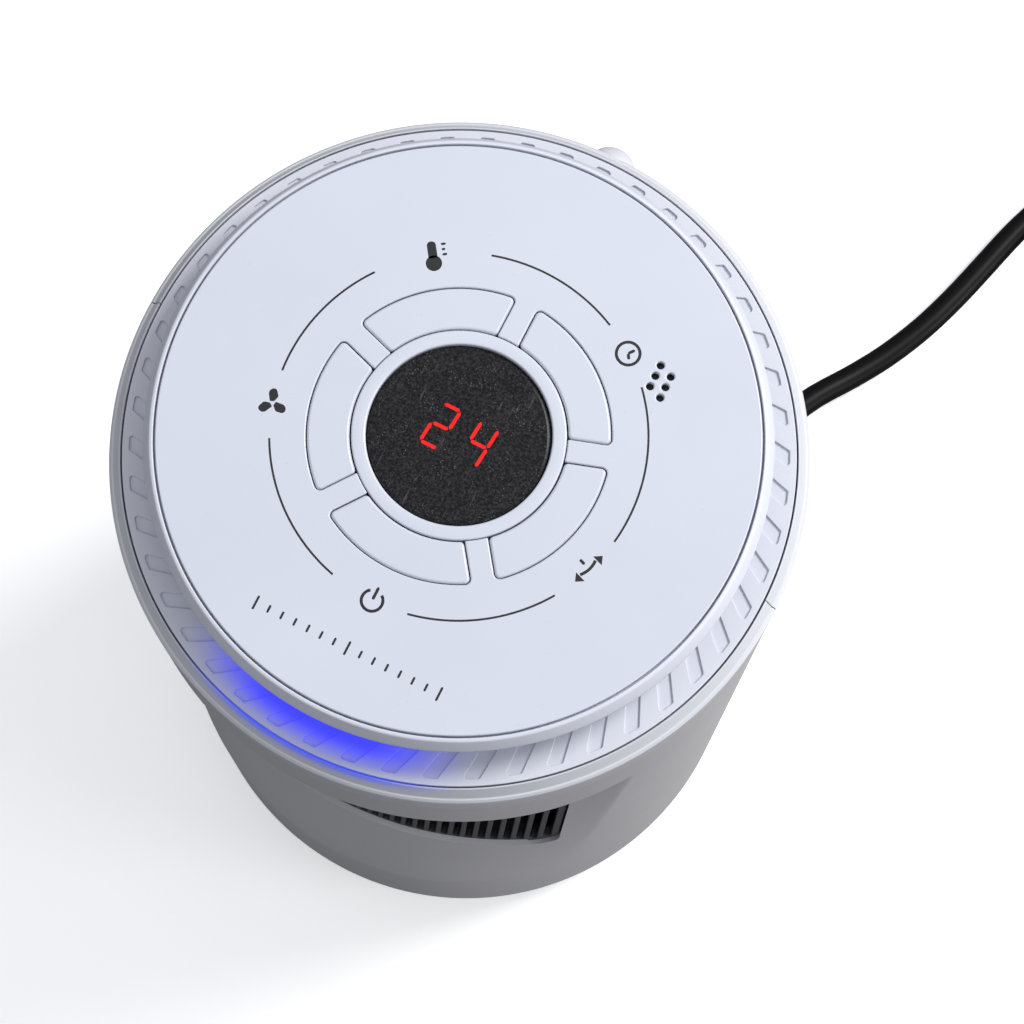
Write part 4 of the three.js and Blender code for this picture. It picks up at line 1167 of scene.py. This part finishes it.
# Over the lamps the ring's base colour is painted dark blue, painted shade under the cap's overhang; its
# emission stands for the lamps below.
frosted = moulded("frosted_ring", (0.66, 0.68, 0.75), 0.5, 700, 0.2, 0.2,
                  glow=(33, 74.6, 82.6, (0.045, 0.05, 0.86)))
dark_slats = moulded("slat_black", (0.035, 0.035, 0.038), 0.42, 800, 0.2, 0.3)
grey_works = moulded("works_grey", (0.30, 0.31, 0.32), 0.5, 800, 0.2, 0.3)
ink_grey = moulded("printed_black", (0.010, 0.010, 0.012), 0.6, 2500, 0.05, 0.03)
nylon = moulded("gear_nylon", (0.72, 0.70, 0.64), 0.4, 900, 0.12, 0.2)
print("plastics made")

# %% [markdown]
# The window is smoked acrylic. It is nearly black, with fine dust in the moulding and a few hair
# scratches that only show where light runs along them. The digits are the one thing that is
# brighter than the room.

# %% Window and digits
SCRATCH_SETS = ((0.7, 34.0), (2.1, 26.0), (1.3, 42.0))


def smoked_window():
    material, tree, shader = new_material("smoked_window")
    where = place(tree)
    specks = add_node(tree, "ShaderNodeTexVoronoi", {"Vector": where, "Scale": 1500.0})
    chosen = graded(tree, noise(tree, where, 300, 2.0), 0.5, 0.6)
    fine = calc(tree, "MULTIPLY", graded(tree, specks.outputs["Distance"], 0.22, 0.1), chosen)
    scratch = 0.0
    for turn, scale in SCRATCH_SETS:
        laid = add_node(tree, "ShaderNodeMapping",
                        {"Vector": where, "Rotation": (0, 0, turn), "Scale": (1, 0.04, 1)})
        line = noise(tree, laid.outputs[0], scale * 20, 1.0)
        hair = graded(tree, calc(tree, "ABSOLUTE", calc(tree, "SUBTRACT", line, 0.62)), 0.006, 0.0)
        broken = graded(tree, noise(tree, where, scale * 3, 2.0), 0.56, 0.62)
        scratch = calc(tree, "MAXIMUM", scratch, calc(tree, "MULTIPLY", hair, broken))
    grain = graded(tree, noise(tree, where, 1900, 2.0, 0.7), 0.42, 0.66)
    base = mix(tree, grain, (0.006, 0.006, 0.007), (0.034, 0.033, 0.036))
    base = mix(tree, fine, base, (0.16, 0.16, 0.17))
    base = mix(tree, calc(tree, "MULTIPLY", scratch, 0.16), base, (0.35, 0.35, 0.38))
    feed(tree, shader, {
        "Base Color": base, "Specular IOR Level": 0.14,
        "Roughness": graded(tree, scratch, 0, 1, 0.3, 0.55),
        "Normal": bumped(tree, calc(tree, "ADD", fine, scratch), 0.15, 0.00002)})
    return material


def lit_red():
    material, tree, shader = new_material("lit_red")
    fleck = graded(tree, noise(tree, place(tree), 700, 2.0), 0.3, 0.7)
    feed(tree, shader, {
        "Emission Color": mix(tree, fleck, (1.0, 0.035, 0.03), (0.95, 0.02, 0.018)),
        "Base Color": (0.02, 0.0, 0.0, 1), "Specular IOR Level": 0.02, "Emission Strength": 1.1})
    return material


window_black = smoked_window()
digit_red = lit_red()

# %% [markdown]
# Rubber and cord share a recipe of dull black with pale scuffs. The metals differ by their marks:
# the blades are brushed along their length, and the fins are rolled sheet. The works inside are
# seen through the slots only, so one clear idea each is enough.

# %% Rubber, cord, metals and works


def scuffed_black(name, colour, roughness, scale):
    material, tree, shader = new_material(name)
    where = place(tree)
    scuff = graded(tree, noise(tree, where, scale, 6.0, 0.7), 0.58, 0.74)
    pale = tuple(c * 3 + 0.01 for c in colour)
    feed(tree, shader, {
        "Base Color": mix(tree, calc(tree, "MULTIPLY", scuff, 0.35), colour, pale),
        "Specular IOR Level": 0.13,
        "Roughness": graded(tree, scuff, 0, 1, roughness, roughness + 0.2),
        "Normal": bumped(tree, noise(tree, where, 1800, 2.0), 0.25, 0.00005)})
    return material


def metal(name, colour, roughness, stretch):
    """Metal with fine marks along one direction; stretch squeezes the noise across it."""
    material, tree, shader = new_material(name)
    laid = add_node(tree, "ShaderNodeMapping", {"Vector": place(tree), "Scale": stretch})
    marks = noise(tree, laid.outputs[0], 400, 4.0, 0.6)
    feed(tree, shader, {
        "Base Color": mix(tree, marks, colour, tuple(c * 0.72 for c in colour)), "Metallic": 1.0,
        "Roughness": graded(tree, marks, 0.3, 0.7, roughness - 0.07, roughness + 0.1),
        "Normal": bumped(tree, marks, 0.2, 0.00005)})
    return material


def blotched(name, colour, other, roughness, scale):
    material, tree, shader = new_material(name)
    patch = graded(tree, noise(tree, place(tree), scale, 5.0, 0.6), 0.4, 0.65)
    feed(tree, shader, {
        "Base Color": mix(tree, patch, colour, other),
        "Roughness": graded(tree, patch, 0, 1, roughness, roughness + 0.12),
        "Normal": bumped(tree, patch, 0.2, 0.0001)})
    return material


def net(name, colour, hole, pitch):
    """Woven filter net: two sets of threads drawn by a wave each."""
    material, tree, shader = new_material(name)
    spot = add_node(tree, "ShaderNodeSeparateXYZ", {0: place(tree)})
    threads = []
    for axis in ("X", "Z"):
        wave = calc(tree, "SINE", calc(tree, "MULTIPLY", spot.outputs[axis], math.tau / (pitch * MM)))
        threads.append(graded(tree, wave, 0.1, 0.5))
    weave = calc(tree, "MAXIMUM", *threads)
    feed(tree, shader, {"Base Color": mix(tree, weave, hole, colour), "Roughness": 0.7,
                        "Normal": bumped(tree, weave, 0.6, 0.0003)})
    return material


rubber = scuffed_black("dull_rubber", (0.014, 0.014, 0.015), 0.62, 55)
cord_black = scuffed_black("cord_pvc", (0.003, 0.003, 0.0034), 0.42, 35)
steel = metal("brushed_steel", (0.56, 0.56, 0.58), 0.3, (6, 0.3, 6))
brass = metal("nickel_blade", (0.66, 0.64, 0.60), 0.26, (8, 0.4, 8))
fins = metal("rolled_aluminium", (0.72, 0.73, 0.75), 0.34, (0.5, 6, 6))
stone = blotched("heating_stone", (0.38, 0.16, 0.10), (0.30, 0.12, 0.075), 0.75, 90)
circuit = blotched("circuit_green", (0.02, 0.13, 0.06), (0.015, 0.09, 0.045), 0.4, 240)
filter_net = net("filter_net", (0.09, 0.09, 0.10), (0.012, 0.012, 0.013), 1.4)
print("all finishes made:", len(bpy.data.materials))

# %% [markdown]
# ## Assembly
# Each fine piece takes over from its plain solid and rides on the same body, so it turns, presses
# and swings with it. Solids that stay, inside and under the tower, only get a finish.

# %% Hand each piece to its body


def dress(piece, material, body, slot_name, *nodes):
    piece.data.materials.clear()
    piece.data.materials.append(material)
    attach(piece, body)
    if nodes:
        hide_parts(*nodes)


dress(disc, disc_white, "tower", "white_gloss", "control_panel")
dress(bezel, disc_white, "tower", "white_gloss", "display_bezel")
dress(window, window_black, "tower", "black_lens", "display_lens")
dress(digits, digit_red, "tower", "black_lens")
dress(marks, ink_grey, "tower", "grey_plastic")
dress(cap, rim_white, "tower", "white_gloss", "control_cap")
dress(lamp_ring, frosted, "tower", "diffuser", "light_ring")
dress(front_collar, collar_white, "tower", "white_plastic", "collar_front")
dress(rear_collar, collar_white, "tower", "white_plastic", "collar_rear")
dress(front, shell_white, "tower", "white_plastic", "front_shell")
dress(rear, shell_white, "tower", "white_plastic", "rear_shell")
dress(slats, dark_slats, "tower", "dark_plastic", "outlet_grille")
dress(intake, shell_white, "tower", "white_plastic", "rear_grille")
dress(base_shell, shell_white, "base", "white_plastic", "base_housing")
dress(mains_cord, cord_black, "base", "cord_plastic", "power_cord", "cord_coil", "cord_tail")
dress(relief, rubber, "base", "rubber", "cord_gland")
dress(clip, rubber, "base", "cord_plastic", "cord_tie")
dress(plug, cord_black, "base", "cord_plastic", "mains_plug")
dress(blades, brass, "base", "steel")
for name, piece in keys.items():
    dress(piece, key_white, name, "key_plastic", name)

# %% Finish the solids that stay
SLOT_FINISH = {
    "white_plastic": shell_white, "white_gloss": disc_white, "key_plastic": key_white,
    "diffuser": frosted, "black_lens": window_black, "dark_plastic": dark_slats,
    "grey_plastic": grey_works, "rubber": rubber, "cord_plastic": cord_black, "steel": steel,
    "heat_fin": fins, "ceramic": stone, "board": circuit, "nylon": nylon, "filter": filter_net,
}
dressed = 0
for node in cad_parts.values():
    for place_in in node.material_slots:
        slot_name = place_in.material.name.split(".")[0] if place_in.material else ""
        for known, material in SLOT_FINISH.items():
            if known in slot_name:
                place_in.link = "OBJECT"
                place_in.material = material
                dressed += 1
                break
print("solids with a finish:", dressed)

# %% [markdown]
# ## Floor and light
# The heater stands on a pale floor in a white room. One wide light hangs high behind its right
# side, and the white room fills the shadows from all round, so edges get a soft bright line and
# nothing is black that is not black.

# %% Floor
FLOOR_HALF = 4000
floor_corners = [(x * FLOOR_HALF, y * FLOOR_HALF, 0) for x, y in ((-1, -1), (1, -1), (1, 1), (-1, 1))]
floor_mesh = clean_mesh("studio_floor", floor_corners, [(0, 1, 2, 3)])
floor = new_piece("studio_floor", floor_mesh)
floor_white, tree, shader = new_material("floor_white")
paper = noise(tree, place(tree), 30, 4.0)
seen = add_node(tree, "ShaderNodeLightPath").outputs["Is Camera Ray"]
pale = mix(tree, paper, (0.93, 0.93, 0.93), (0.90, 0.90, 0.905))
feed(tree, shader, {
    "Base Color": mix(tree, seen, (0.2, 0.2, 0.205), pale), "Roughness": 0.9, "Specular IOR Level": 0.1,
    "Emission Color": mix(tree, seen, (0, 0, 0), (1, 1, 1)), "Emission Strength": 0.36})
floor.data.materials.append(floor_white)

# %% Light


def area_light(name, position, target, size, power, colour):
    data = bpy.data.lights.new(name, "AREA")
    data.shape = "DISK"
    data.size = size
    data.energy = power
    data.color = colour
    lamp = bpy.data.objects.new(name, data)
    aim = (Vector(target) - Vector(position)).to_track_quat("-Z", "Y").to_matrix().to_4x4()
    aim.translation = Vector(position)
    lamp.matrix_world = aim
    bpy.context.scene.collection.objects.link(lamp)


area_light("high_back_light", (0.75, 0.95, 1.5), (0, 0, 0.2), 0.7, 25, (1.0, 0.995, 0.98))
area_light("right_side_light", (1.5, 0.3, 0.4), (0.05, 0, 0.12), 0.6, 8.5, (1.0, 0.99, 0.98))
room = bpy.data.worlds.new("white_room")
room.use_nodes = True
air = room.node_tree
outward = add_node(air, "ShaderNodeTexCoord").outputs["Generated"]
direction = add_node(air, "ShaderNodeSeparateXYZ", {0: outward})
height = graded(air, direction.outputs["Z"], 0.0, 0.75, 0.10, 1.0)
feed(air, air.nodes["Background"],
     {"Color": mix(air, height, (0.02, 0.02, 0.022), (0.93, 0.95, 1.0)), "Strength": 0.72})
bpy.context.scene.world = room
bpy.context.scene.view_settings.view_transform = "Standard"
print("studio is lit")
